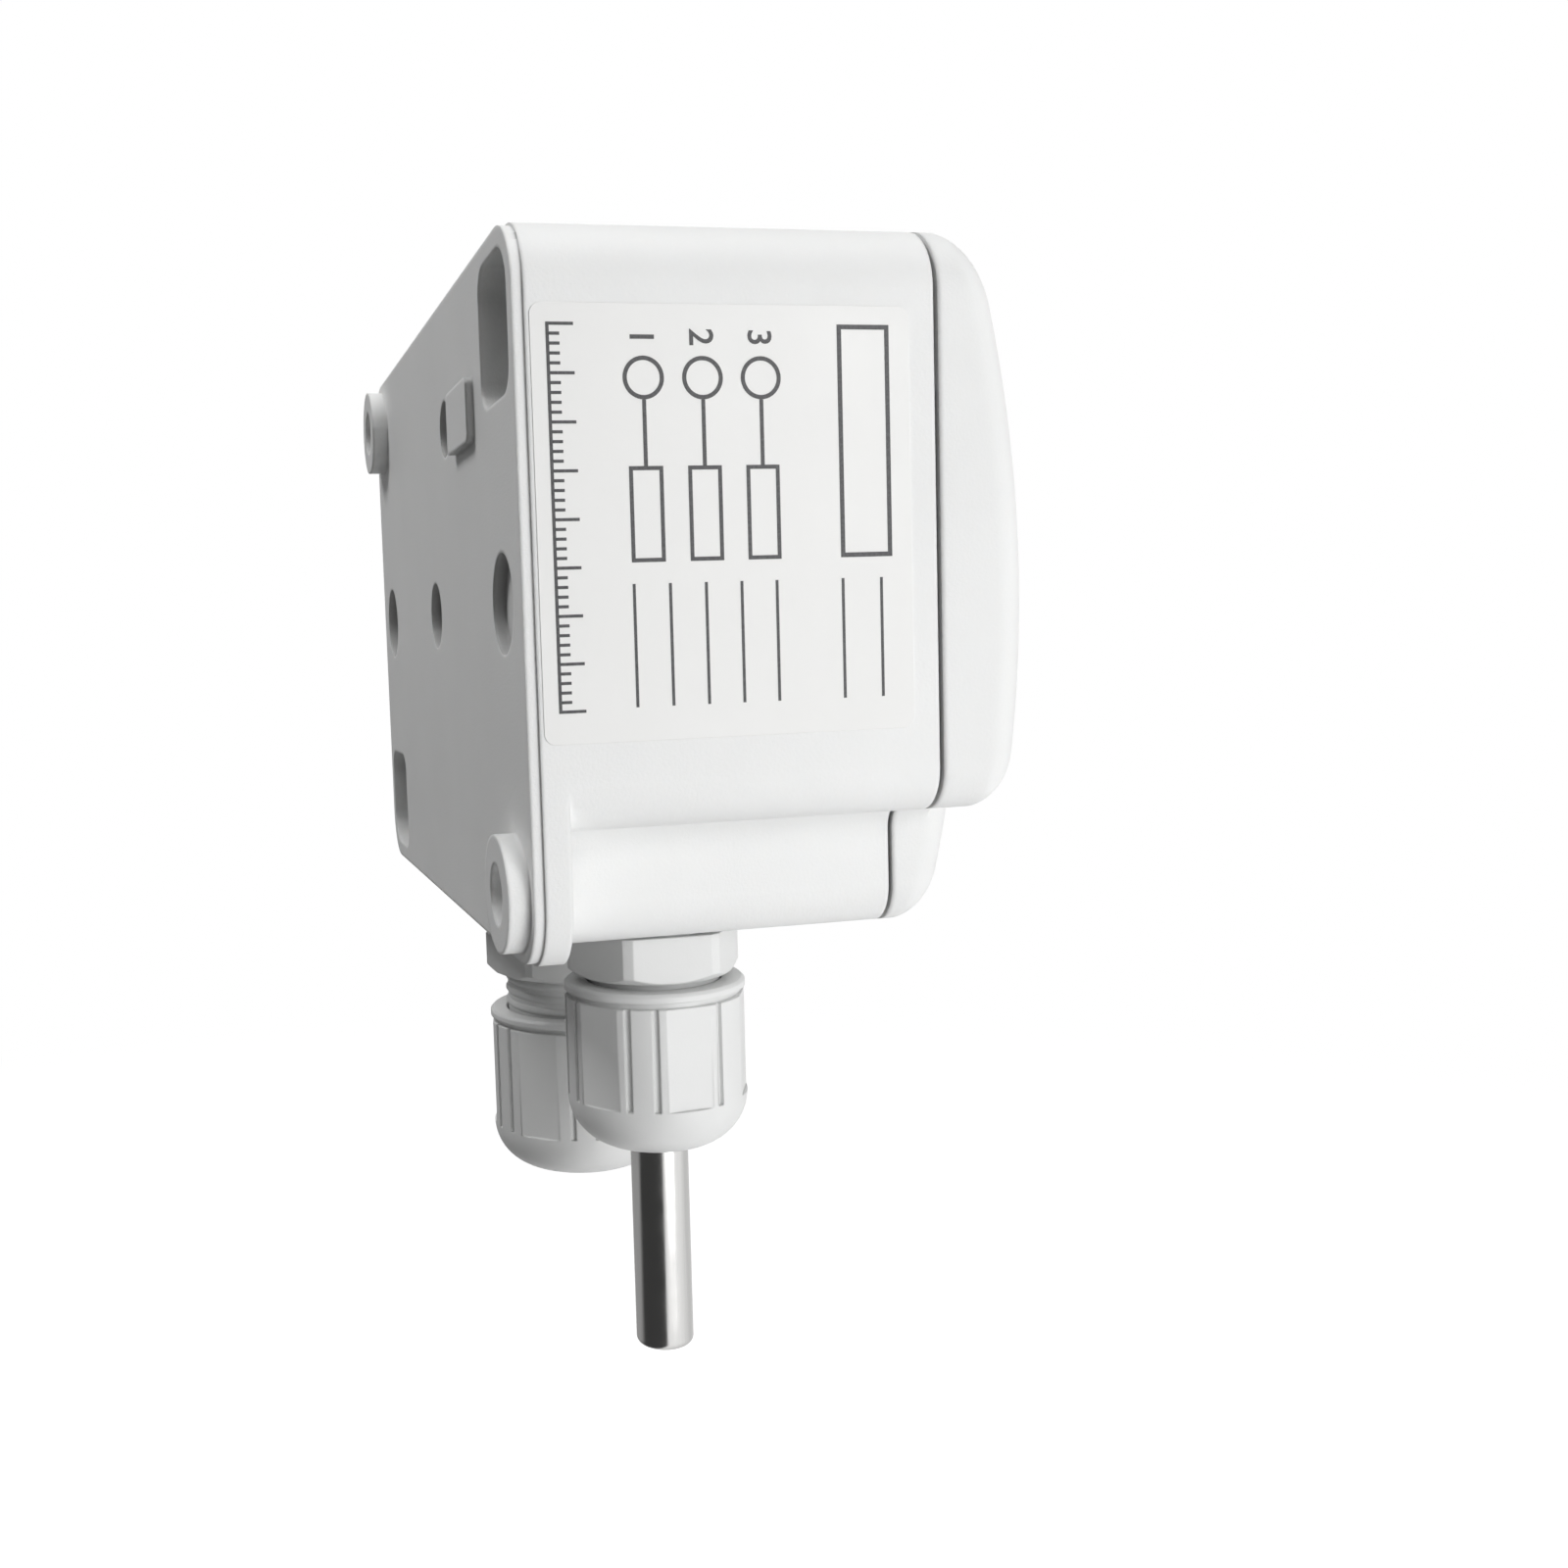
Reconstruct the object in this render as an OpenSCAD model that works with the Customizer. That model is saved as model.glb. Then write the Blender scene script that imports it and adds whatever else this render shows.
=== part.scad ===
/* [Housing] */
// Width of the housing
body_w = 92; // [86:1:104]
// Height of the housing
body_h = 64; // [60:1:84]
// Depth of the back housing, from its rear face to the joint with the cover
body_d = 37.5; // [34:0.5:48]
// Radius of the housing's outer corners
corner_r = 6; // [4.5:0.5:8]
// Thickness of the side walls
wall_t = 2.6; // [2.4:0.1:3.2]
// Thickness of the rear wall and of the fixing ears
rear_t = 3.4; // [2.8:0.1:4.5]
// Width of the notch that bares a fixing ear
notch_w = 11; // [10:0.1:12]
// Height of the notch that bares a fixing ear
notch_h = 12; // [11:0.5:13]
// Gap that shows between housing and cover
parting_gap = 0.4; // [0.2:0.1:0.8]

/* [Cover] */
// Height of the cover at the middle of its dome
lid_rise = 9.6; // [9:0.2:14]
// Radius of the dome, which bends from top to bottom
dome_r = 117; // [105:1:160]
// Rounding of the cover's front edges
edge_r = 3.6; // [2.5:0.1:4]
// Thickness of the cover's front
lid_t = 2.2; // [1.8:0.1:3]
// Thickness of the tongue that enters the housing
tongue_t = 1.4; // [1:0.1:2]
// Length of the tongue
tongue_l = 3; // [2:0.5:5]

/* [Wall fixing] */
// Distance of a fixing hole from the two edges of its ear
hole_inset = 6.5; // [5.8:0.1:7]
// Diameter of a fixing hole
hole_d = 5.5; // [4:0.1:6]
// Diameter of the boss round a fixing hole
boss_d = 10.6; // [9:0.1:11.6]
// Height of the bosses behind the rear face
boss_h = 2; // [1:0.1:4]

/* [Cover screws] */
// Diameter of a cover screw's head
screw_head_d = 8; // [7:0.1:8.6]
// Diameter of a cover screw's shank
screw_shank_d = 5; // [4:0.1:5.4]
// Span of the wings at the tip of a cover screw
wing_span = 9; // [7.5:0.1:9.4]

/* [Probe gland] */
// Distance of the probe's axis left of the middle
probe_x = 21; // [19:0.5:23]
// Diameter of the probe gland's thread
probe_thread_d = 12; // [11:0.5:12.5]
// Hexagon of the probe gland across its flats
probe_hex_af = 16; // [15.5:0.5:17]
// Diameter of the probe gland's cap nut over its corner ribs
probe_nut_d = 18.6; // [18:0.1:19.5]
// Length of the probe gland's cap nut
probe_nut_l = 17.2; // [16:0.1:19]
// Diameter of the probe
probe_d = 6; // [5:0.1:6.4]
// Length of the probe that shows under its cap nut
probe_out = 21.8; // [10:0.2:60]

/* [Cable gland] */
// Distance of the cable gland's axis right of the middle
cable_x = 12; // [10:0.5:14]
// Diameter of the cable gland's thread
cable_thread_d = 16; // [15:0.5:16.5]
// Hexagon of the cable gland across its flats
cable_hex_af = 20; // [19.5:0.5:21]
// Diameter of the cable gland's cap nut over its corner ribs
cable_nut_d = 22; // [21.5:0.1:23]
// Length of the cable gland's cap nut
cable_nut_l = 19.6; // [18.6:0.1:22]
// Length of the round collar that carries the cable gland under the housing
cable_collar_l = 6.2; // [2:0.1:8]
// Bore of the cable gland's rubber insert
cable_bore_d = 9; // [6:0.1:9.6]
// Distance of both gland axes in front of the rear face
gland_depth = 17.7; // [16:0.1:18.5]

/* [Board] */
// Height of the board's posts above the rear wall
post_h = 6; // [5:0.5:8]
// Thickness of the circuit board
board_t = 1.6; // [1:0.1:2]
// Poles of the cable terminal are this far apart
pole_pitch = 5.08; // [5:0.02:5.4]

/* [Hidden] */
$fn = 64;
over = 0.5;
hex_sides = 6;
quarter = 90;
half_turn = 180;
full_turn = 360;

// Clearances between pieces that don't turn in one another, and of a running fit
clear = 0.3;
run_clear = 0.08;
seat = 0.02;

// Outline of the housing
notch_end_r = 4;
notch_fillet_r = 2.5;
least_r = 0.5;
rim_step_d = 1;
rim_step_t = 0.25;

// Rear-open pocket behind each cover screw
pocket_w = 12.5;
pocket_h = 12.5;
pocket_rim = 2;
pocket_part_t = 2;
pocket_r = 2.5;
shelf_t = 4;
pocket_cx = -body_w/2 + pocket_rim + pocket_w/2;
pocket_cz = body_h/2 - pocket_rim - pocket_h/2;

// Marks on the rear face: central knock-out, side knock-out, moulding gate and spacer bar
mark_depth = 1.2;
knock_out_d = 7.2;
side_mark_d = 9;
side_mark_in = 8.4;
gate_d = 5.8;
gate_in = 35.5;
gate_down = 13;
bar_w = 11;
bar_h = 6;
bar_t = 0.8;
bar_in = 24;
bar_down = 13.5;
bar_x = -body_w/2 + bar_in;
bar_z = body_h/2 - bar_down;
bar_r = 0.8;

// Cover seal in the joint
seal_in = 0.4;
seal_w = 1.2;
seal_groove_d = 1;
groove_clear = 0.15;

// Cover screw: head in the cover, wings under the shelf
head_t = 3;
head_seat = 3;
head_edge = 0.5;
wing_w = 2.4;
wing_t = 2;
wing_gap = 0.6;
drive_w = 1.1;
drive_l = 6;
drive_depth = 1.7;
ring_t = 1.2;
ring_channel_d = 1;

// Frame heights: depths are counted from the rear face to the front
lid_back = body_d + parting_gap;
lid_front = body_d + lid_rise;
dome_c = lid_front - dome_r;
shelf_back = body_d - shelf_t;
head_back = body_d + head_seat + seat;
wing_front = shelf_back - wing_gap;
board_back = rear_t + post_h;
board_front = board_back + board_t;

// Glands: depths are counted down from the underside of the housing
port_boss_t = 3.2;
port_wall_t = 2.2;
port_in = 5;
thread_in_l = wall_t + port_in;
washer_t = 0.7;
washer_w = 1.8;
hex_turned = 0.3;
hex_chamfer = 1.3;
hex_chamfer_h = 0.7;
probe_hex_h = 4.7;
cable_hex_h = 4.5;
probe_nut_gap = 0.7;
cable_nut_gap = 4.6;
probe_sleeve_l = 9.5;
cable_sleeve_l = 12.4;
cable_collar_d = 20;
sleeve_wall_t = 1.5;
claw_wall_share = 0.46;
claw_taper_share = 0.41;
claw_inset = 4;
claw_fingers = 8;
finger_slot_w = 0.9;
finger_l = 4.5;
dome_end_r = 5.4;
nut_lip_t = 1.6;
nut_chamfer = 0.3;
nut_ring_h = 0.9;
nut_groove_h = 0.6;
nut_groove_t = 0.5;
nut_flat_t = 0.3;
nut_rib_w = 2.2;
rib_groove_w = 0.6;
rib_groove_t = 0.45;
nut_travel = 3;
cable_pass_d = 10.2;
probe_slack = 0.4;
probe_hex_turn = 27.5;
probe_nut_turn = 35;
cable_hex_turn = 15;
cable_nut_turn = 47.5;

// Probe: tube, potting, element and leads
tube_t = 0.5;
tube_end_r = 0.7;
tube_in_l = 9;
plug_l = 6;
plug_proud = 1;
potting_l = 9;
element_w = 2;
element_t = 1.2;
element_l = 4;
element_up = 2;
lead_d = 1;
lead_gap = 0.5;

// Board outline and holes
board_side_gap = 2;
board_top_gap = 1.9;
board_foot = 14;
board_corner_gap = 1.2;
board_r = 1.5;
post_d = 6;
post_hole_d = 2.4;
post_hole_l = 5;
board_hole_d = 3.2;
low_post_in = 10;
low_post_up = 3.5;
high_post_in = 24;
high_post_down = 8.5;

// Cable terminal
pole_count = 3;
term_h = 11;
term_w = 8;
term_wall_t = 0.65;
cage_w = 3.3;
cage_l = 3.6;
cage_t = 0.65;
cage_h = 5.4;
cage_foot = 1.3;
cage_travel = 1.2;
cage_mid = 2.3;
term_screw_d = 2.2;
term_head_d = 3.4;
term_head_t = 1.6;
term_slot_w = 0.6;
term_slot_d = 0.8;
contact_w = 1.8;
contact_t = 0.6;
contact_pin_l = 0.9;
pin_hole_d = 0.9;
term_edge = 0.4;
contact_z = 4.7;

// Probe connector
link_w = 6.4;
link_l = 7;
link_h = 8.5;
link_bore_d = 1.6;
link_bore_l = 4;

// Range switch and its levers
dip_w = 9;
dip_l = 6.2;
dip_h = 3.2;
dip_x = -12;
dip_z = 6;
lever_pitch = 2.54;
lever_w = 1.2;
lever_l = 1.4;
lever_h = 1.6;
lever_up = 0.6;
lever_travel = 1.6;

// Trimmer, chips, capacitor, coil and lamp
trim_w = 6.6;
trim_h = 4.4;
trim_x = 2;
trim_z = 8;
rotor_d = 4;
rotor_t = 1.4;
rotor_slot_w = 0.7;
chip_w = 10.3;
chip_l = 7.5;
chip_h = 2.4;
chip_x = 0;
chip_down = 13;
chip_z = body_h/2 - chip_down;
supply_w = 6.5;
supply_l = 3.5;
supply_h = 1.6;
supply_in = 20;
supply_x = body_w/2 - supply_in;
supply_z = -1;
can_d = 6.3;
can_h = 7.7;
can_base_h = 0.8;
can_in = 26;
can_x = body_w/2 - can_in;
can_z = 9;
coil_w = 6;
coil_h = 3;
coil_r = 1.2;
coil_in = 15;
coil_x = body_w/2 - coil_in;
coil_z = 8;
lamp_d = 3;
lamp_flange_d = 3.6;
lamp_flange_t = 0.8;
lamp_h = 4.6;
lamp_in = 15;
lamp_x = -body_w/2 + lamp_in;
lamp_z = 2;

// Puts a piece that is drawn flat, with its height to the front, on the rear face
module front() {
    translate([0, -boss_h, 0])
        rotate([quarter, 0, 0])
            children();
}

// Puts a piece that is drawn with its height downwards under the housing
module under(x) {
    translate([x, -boss_h - gland_depth, -body_h/2])
        rotate([half_turn, 0, 0])
            children();
}

// Repeats a flat shape at the opposite corner of the housing
module both_corners() {
    children();
    rotate(half_turn)
        children();
}

module block(x0, x1, y0, y1) {
    translate([x0, y0])
        square([x1 - x0, y1 - y0]);
}

// The sharp bit outside a rounded corner at (x, y); sx and sy point into the shape
module nip(x, y, sx, sy, r) {
    difference() {
        translate([x + sx*(r - over)/2, y + sy*(r - over)/2])
            square(r + over, center = true);
        translate([x + sx*r, y + sy*r])
            circle(r);
    }
}

// Half of the outline, which reaches the near side and the top, set in by i
module half_outline(i) {
    left = -body_w/2 + i;
    right = body_w/2 - notch_w - i;
    low = -body_h/2 + notch_h + i;
    high = body_h/2 - i;
    end_r = max(notch_end_r - i, least_r);
    difference() {
        block(left, right, low, high);
        nip(left, high, 1, -1, max(corner_r - i, least_r));
        nip(left, low, 1, 1, end_r);
        nip(right, high, -1, -1, end_r);
    }
}

// Fillet in the inner corner of the lower notch
module notch_fillet(i) {
    r = notch_fillet_r + i;
    x = -body_w/2 + notch_w + i;
    y = -body_h/2 + notch_h + i;
    difference() {
        block(x - r, x + over, y - r, y + over);
        translate([x - r, y - r])
            circle(r);
    }
}

// Outline of housing and cover, with two notched corners, set in by i
module outline(i) {
    both_corners() {
        half_outline(i);
        notch_fillet(i);
    }
}

// Corner that holds a cover screw, grown by g
module screw_corner(g) {
    r = pocket_r + g;
    x = pocket_cx + pocket_w/2 + g;
    y = pocket_cz - pocket_h/2 - g;
    difference() {
        block(-body_w/2 - over, x, y, body_h/2 + over);
        nip(x, y, -1, 1, r);
    }
}

// Inside of the sealed space, set in by i
module cavity(i) {
    difference() {
        outline(wall_t + i);
        both_corners()
            screw_corner(pocket_part_t + i);
    }
}

module pocket() {
    outer_r = corner_r - pocket_rim;
    left = pocket_cx - pocket_w/2;
    right = pocket_cx + pocket_w/2;
    low = pocket_cz - pocket_h/2;
    high = pocket_cz + pocket_h/2;
    difference() {
        block(left, right, low, high);
        nip(left, high, 1, -1, outer_r);
        nip(right, high, -1, -1, pocket_r);
        nip(left, low, 1, 1, pocket_r);
        nip(right, low, -1, 1, pocket_r);
    }
}

module ear_outline(i) {
    r = corner_r - i;
    w = body_w/2 - i;
    h = body_h/2 - i;
    difference() {
        square([2*w, 2*h], center = true);
        nip(-w, h, 1, -1, r);
        nip(w, h, -1, -1, r);
        nip(-w, -h, 1, 1, r);
        nip(w, -h, -1, 1, r);
    }
}

// Cross-section of a cover screw's shank with its wings, grown by g
module wing_shape(g) {
    circle(d = screw_shank_d + 2*g);
    intersection() {
        square([wing_span + 2*g, wing_w + 2*g], center = true);
        circle(d = wing_span + 2*g);
    }
}

module at_fixing_holes() {
    both_corners()
        translate([-body_w/2 + hole_inset, -body_h/2 + hole_inset])
            children();
}

module at_board_posts() {
    for (side = [-1, 1]) {
        translate([side*(body_w/2 - low_post_in), -board_foot + low_post_up])
            children();
        translate([side*(body_w/2 - high_post_in), body_h/2 - high_post_down])
            children();
    }
}

module gland_port(x, thread_d, collar_l) {
    under(x)
        translate([0, 0, -thread_in_l - over])
            cylinder(d = thread_d + 2*clear, h = thread_in_l + collar_l + 2*over);
}

module cable_collar() {
    under(cable_x)
        translate([0, 0, -wall_t/2])
            cylinder(d = cable_collar_d, h = wall_t/2 + cable_collar_l);
}

module gland_boss(x, thread_d) {
    under(x)
        translate([0, 0, -wall_t - port_boss_t])
            cylinder(d = thread_d + 2*clear + 2*port_wall_t, h = port_boss_t + wall_t/2);
}

module rear_marks() {
    translate([0, 0, -over]) {
        cylinder(d = knock_out_d, h = mark_depth + over);
        translate([-body_w/2 + gate_in, body_h/2 - gate_down])
            cylinder(d = gate_d, h = mark_depth + over);
        translate([-body_w/2 + side_mark_in, 0])
            cylinder(d = side_mark_d, h = mark_depth + over);
        translate([body_w/2 - side_mark_in, 0])
            cylinder(d = side_mark_d, h = mark_depth + over);
    }
}

module base_shell() {
    difference() {
        union() {
            linear_extrude(rim_step_d)
                ear_outline(rim_step_t);
            translate([0, 0, rim_step_d])
                linear_extrude(rear_t - rim_step_d)
                    ear_outline(0);
            translate([0, 0, rim_step_d])
                linear_extrude(body_d - rim_step_d)
                    outline(0);
            at_fixing_holes()
                translate([0, 0, -boss_h])
                    cylinder(d = boss_d, h = boss_h + rim_step_d);
            translate([bar_x - bar_w/2, bar_z - bar_h/2, -bar_t])
                linear_extrude(bar_t + rim_step_d)
                    bar_outline();
        }
        translate([0, 0, rear_t])
            linear_extrude(body_d)
                cavity(0);
        both_corners()
            translate([0, 0, -over])
                linear_extrude(shelf_back + over)
                    pocket();
        both_corners()
            translate([pocket_cx, pocket_cz, shelf_back - over])
                linear_extrude(shelf_t + 2*over)
                    wing_shape(clear);
        at_fixing_holes()
            translate([0, 0, -boss_h - over])
                cylinder(d = hole_d, h = boss_h + rear_t + 2*over);
        rear_marks();
    }
}

module bar_outline() {
    difference() {
        square([bar_w, bar_h]);
        nip(0, 0, 1, 1, bar_r);
        nip(bar_w, 0, -1, 1, bar_r);
        nip(0, bar_h, 1, -1, bar_r);
        nip(bar_w, bar_h, -1, -1, bar_r);
    }
}

module housing_base() {
    color([0.93, 0.94, 0.94])
    difference() {
        union() {
            front() {
                base_shell();
                at_board_posts()
                    translate([0, 0, rear_t - over])
                        cylinder(d = post_d, h = post_h + over);
            }
            intersection() {
                front()
                    linear_extrude(body_d)
                        outline(wall_t/2);
                union() {
                    gland_boss(-probe_x, probe_thread_d);
                    gland_boss(cable_x, cable_thread_d);
                }
            }
            cable_collar();
        }
        front()
            at_board_posts()
                translate([0, 0, board_back - post_hole_l])
                    cylinder(d = post_hole_d, h = post_hole_l + over);
        gland_port(-probe_x, probe_thread_d, 0);
        gland_port(cable_x, cable_thread_d, cable_collar_l);
    }
}

// Side view of the cover's upper half outline, extruded across it: dome and rounded ends
module dome_profile(low, high) {
    reach = dome_r - edge_r;
    low_c = low + edge_r;
    high_c = high - edge_r;
    low_y = dome_c + sqrt(reach*reach - low_c*low_c);
    high_y = dome_c + sqrt(reach*reach - high_c*high_c);
    intersection() {
        translate([0, dome_c])
            circle(r = dome_r, $fn = 4*$fn);
        block(low_c*dome_r/reach, high_c*dome_r/reach, 0, lid_front + over);
    }
    translate([low_c, low_y])
        circle(edge_r);
    translate([high_c, high_y])
        circle(edge_r);
    block(low, low_c*dome_r/reach, 0, low_y);
    block(high_c*dome_r/reach, high, 0, high_y);
}

// Half of the cover's outer form, between two sides and two ends
module half_dome() {
    left = -body_w/2;
    right = body_w/2 - notch_w;
    low = -body_h/2 + notch_h;
    high = body_h/2;
    intersection() {
        translate([0, 0, lid_back])
            linear_extrude(lid_rise)
                half_outline(0);
        translate([left - over, 0, 0])
            rotate([quarter, 0, quarter])
                linear_extrude(right - left + 2*over)
                    dome_profile(low, high);
        barrel(left, right);
    }
}

// Large wheel whose rim is the dome and whose rim edges are rounded
module barrel(left, right) {
    translate([left, 0, dome_c])
        rotate([0, quarter, 0])
            rotate_extrude($fn = 4*$fn)
                difference() {
                    square([dome_r, right - left]);
                    nip(dome_r, 0, -1, 1, edge_r);
                    nip(dome_r, right - left, -1, -1, edge_r);
                }
}

module cover_solid() {
    both_corners()
        half_dome();
    both_corners()
        translate([0, 0, lid_back])
            linear_extrude(lid_rise - edge_r - parting_gap)
                notch_fillet(0);
}

module cover_hollow() {
    intersection() {
        translate([0, 0, body_d - tongue_l - over])
            linear_extrude(lid_rise + tongue_l)
                cavity(clear + tongue_t);
        translate([-body_w/2, 0, dome_c])
            rotate([0, quarter, 0])
                cylinder(r = dome_r - lid_t, h = body_w, $fn = 4*$fn);
    }
}

module front_cover() {
    color([0.95, 0.95, 0.95])
    front()
    difference() {
        union() {
            cover_solid();
            translate([0, 0, body_d - tongue_l])
                linear_extrude(tongue_l + parting_gap + over)
                    cavity(clear);
        }
        cover_hollow();
        translate([0, 0, lid_back - over])
            linear_extrude(seal_groove_d + over)
                difference() {
                    cavity(-seal_in - seal_w - groove_clear);
                    cavity(-seal_in + groove_clear);
                }
        both_corners()
            translate([pocket_cx, pocket_cz, 0])
                screw_bore();
    }
}

module screw_bore() {
    cylinder(d = screw_shank_d + 2*clear, h = lid_front);
    translate([0, 0, body_d + head_seat])
        cylinder(d = screw_head_d + 2*clear, h = lid_rise);
    translate([0, 0, body_d + head_seat - ring_channel_d])
        cylinder(d = screw_shank_d + 2*clear + 2*ring_t, h = ring_channel_d + over);
}

module cover_seal() {
    color([0.25, 0.26, 0.27])
    front()
        translate([0, 0, body_d + seat])
            linear_extrude(parting_gap + seal_groove_d - seat)
                difference() {
                    cavity(-seal_in - seal_w);
                    cavity(-seal_in);
                }
}

module cover_screw() {
    color([0.90, 0.91, 0.91])
    difference() {
        union() {
            translate([0, 0, head_back])
                cylinder(d = screw_head_d, h = head_t - head_edge);
            translate([0, 0, head_back + head_t - head_edge])
                cylinder(d1 = screw_head_d, d2 = screw_head_d - 2*head_edge, h = head_edge);
            translate([0, 0, wing_front - wing_t])
                cylinder(d = screw_shank_d, h = head_back - wing_front + wing_t + over);
            translate([0, 0, wing_front - wing_t])
                linear_extrude(wing_t)
                    wing_shape(0);
        }
        translate([0, 0, head_back + head_t - drive_depth]) {
            linear_extrude(drive_depth + over)
                square([drive_l, drive_w], center = true);
            linear_extrude(drive_depth + over)
                square([drive_w, drive_l], center = true);
        }
    }
}

module cover_screw_1() {
    front()
        translate([pocket_cx, pocket_cz, 0])
            cover_screw();
}

module cover_screw_2() {
    front()
        translate([-pocket_cx, -pocket_cz, 0])
            rotate(half_turn)
                cover_screw();
}

module screw_ring() {
    color([0.12, 0.12, 0.13])
    translate([0, 0, body_d + head_seat - ring_channel_d + ring_t/2])
        rotate_extrude()
            translate([screw_shank_d/2 + clear + ring_t/2, 0])
                circle(d = ring_t - 2*groove_clear);
}

module screw_ring_1() {
    front()
        translate([pocket_cx, pocket_cz, -groove_clear])
            screw_ring();
}

module screw_ring_2() {
    front()
        translate([-pocket_cx, -pocket_cz, -groove_clear])
            screw_ring();
}

// Hexagonal prism with its corners turned off, more so at its lower end
module hex_prism(af, h, turn) {
    corner = af/cos(half_turn/hex_sides);
    round_d = corner - 2*hex_turned;
    intersection() {
        rotate(turn)
            cylinder(d = corner, h = h, $fn = hex_sides);
        union() {
            cylinder(d = round_d, h = h - hex_chamfer_h);
            translate([0, 0, h - hex_chamfer_h])
                cylinder(d1 = round_d, d2 = corner - 2*hex_chamfer, h = hex_chamfer_h);
        }
    }
}

// Gland body: thread in the wall, hexagon, and sleeve that carries the cap nut
module gland_body(thread_d, af, start, hex_h, sleeve_l, bore_d, turn) {
    sleeve_d = thread_d + sleeve_wall_t;
    hex_top = start + washer_t;
    hex_end = hex_top + hex_h;
    color([0.86, 0.87, 0.87])
    difference() {
        union() {
            translate([0, 0, -thread_in_l])
                cylinder(d = thread_d, h = thread_in_l + hex_top + over);
            translate([0, 0, hex_top])
                hex_prism(af, hex_h, -turn);
            translate([0, 0, hex_end - over])
                cylinder(d = sleeve_d, h = sleeve_l + over);
        }
        translate([0, 0, -thread_in_l - over])
            cylinder(d = bore_d, h = thread_in_l + hex_end + sleeve_l + 2*over);
        translate([0, 0, hex_end])
            cylinder(d = claw_d(thread_d) + 2*run_clear, h = sleeve_l + over);
    }
}

function claw_d(thread_d) = thread_d - sleeve_wall_t;
function claw_wall(thread_d, bore_d) = claw_wall_share*(claw_d(thread_d) - bore_d)/2;
function claw_taper(thread_d, bore_d) = claw_taper_share*(claw_d(thread_d) - bore_d)/2;

module gland_washer(thread_d, start) {
    color([0.2, 0.2, 0.21])
    translate([0, 0, start])
    difference() {
        cylinder(d = thread_d + 2*washer_w, h = washer_t);
        translate([0, 0, -over])
            cylinder(d = thread_d + 2*groove_clear, h = washer_t + 2*over);
    }
}

// Claw ring: its slotted end bends in when the cap nut presses it
module gland_claw(thread_d, bore_d, top, l) {
    d = claw_d(thread_d);
    inner_d = d - 2*claw_wall(thread_d, bore_d);
    taper = claw_taper(thread_d, bore_d);
    color([0.8, 0.81, 0.82])
    translate([0, 0, top])
    difference() {
        union() {
            cylinder(d = d, h = l - finger_l);
            translate([0, 0, l - finger_l])
                cylinder(d1 = d, d2 = d - 2*taper, h = finger_l);
        }
        translate([0, 0, -over])
            cylinder(d = inner_d - 2*taper, h = l + 2*over);
        translate([0, 0, -over])
            cylinder(d = inner_d, h = l - finger_l + over);
        for (k = [0 : claw_fingers - 1])
            rotate(k*full_turn/claw_fingers)
                translate([0, -finger_slot_w/2, l - finger_l])
                    cube([d, finger_slot_w, finger_l + over]);
    }
}

module gland_insert(thread_d, bore_d, top, l) {
    d = claw_d(thread_d) - 2*claw_wall(thread_d, bore_d) - 2*seat;
    color([0.18, 0.18, 0.19])
    translate([0, 0, top])
    difference() {
        cylinder(d = d, h = l);
        translate([0, 0, -over])
            cylinder(d = bore_d, h = l + 2*over);
    }
}

// Cap nut: round, with six flats, a rib between two grooves at each corner, and a domed end
module gland_nut(thread_d, bore_d, d, l, top, sleeve_in, hole_d, turn) {
    grip = nut_ring_h + nut_groove_h;
    color([0.88, 0.89, 0.89])
    translate([0, 0, top])
    difference() {
        rotate_extrude()
            nut_profile(thread_d, bore_d, d, l, sleeve_in, hole_d);
        for (k = [0 : hex_sides - 1])
            rotate(-turn + k*full_turn/hex_sides)
                translate([0, 0, grip])
                    nut_corner(d, l - dome_end_r - grip);
    }
}

// Half section of a cap nut: ring, groove, round body with a domed end, bore, cone and hole
module nut_profile(thread_d, bore_d, d, l, sleeve_in, hole_d) {
    bore_r = (thread_d + sleeve_wall_t)/2 + clear;
    cone_r = claw_d(thread_d)/2 - claw_taper(thread_d, bore_d) + clear;
    lip = l - nut_lip_t;
    edge = d/2 - nut_chamfer - over;
    rim = d/2 + over;
    difference() {
        square([d/2, l]);
        nip(d/2, l, -1, -1, dome_end_r);
        polygon([[edge, -over], [rim, -over], [rim, nut_chamfer + over]]);
        block(d/2 - nut_groove_t, rim, nut_ring_h, nut_ring_h + nut_groove_h);
        polygon([
            [0, -over], [bore_r, -over], [bore_r, sleeve_in], [cone_r, lip],
            [hole_d/2, lip], [hole_d/2, l + over], [0, l + over]
        ]);
    }
}

// What is cut away at one corner: a groove on each side of its rib, and the flat after it
module nut_corner(d, h) {
    for (side = [-1, 1])
        translate([d/2 - rib_groove_t, side*(nut_rib_w + rib_groove_w)/2 - rib_groove_w/2, 0])
            cube([rib_groove_t + over, rib_groove_w, h]);
    rotate(half_turn/hex_sides)
        translate([d/2 - nut_flat_t, -d/4, 0])
            cube([nut_flat_t + over, d/2, h]);
}

probe_bore_d = probe_d + 2*run_clear;
probe_hex_end = washer_t + probe_hex_h;
cable_hex_end = cable_collar_l + washer_t + cable_hex_h;
probe_nut_top = probe_hex_end + probe_nut_gap;
cable_nut_top = cable_hex_end + cable_nut_gap;
probe_claw_top = probe_hex_end + claw_inset;
cable_claw_top = cable_hex_end + claw_inset;
probe_claw_l = probe_nut_top + probe_nut_l - nut_lip_t - groove_clear - probe_claw_top;
cable_claw_l = cable_nut_top + cable_nut_l - nut_lip_t - groove_clear - cable_claw_top;
probe_tip = probe_nut_top + probe_nut_l + probe_out;

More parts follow.
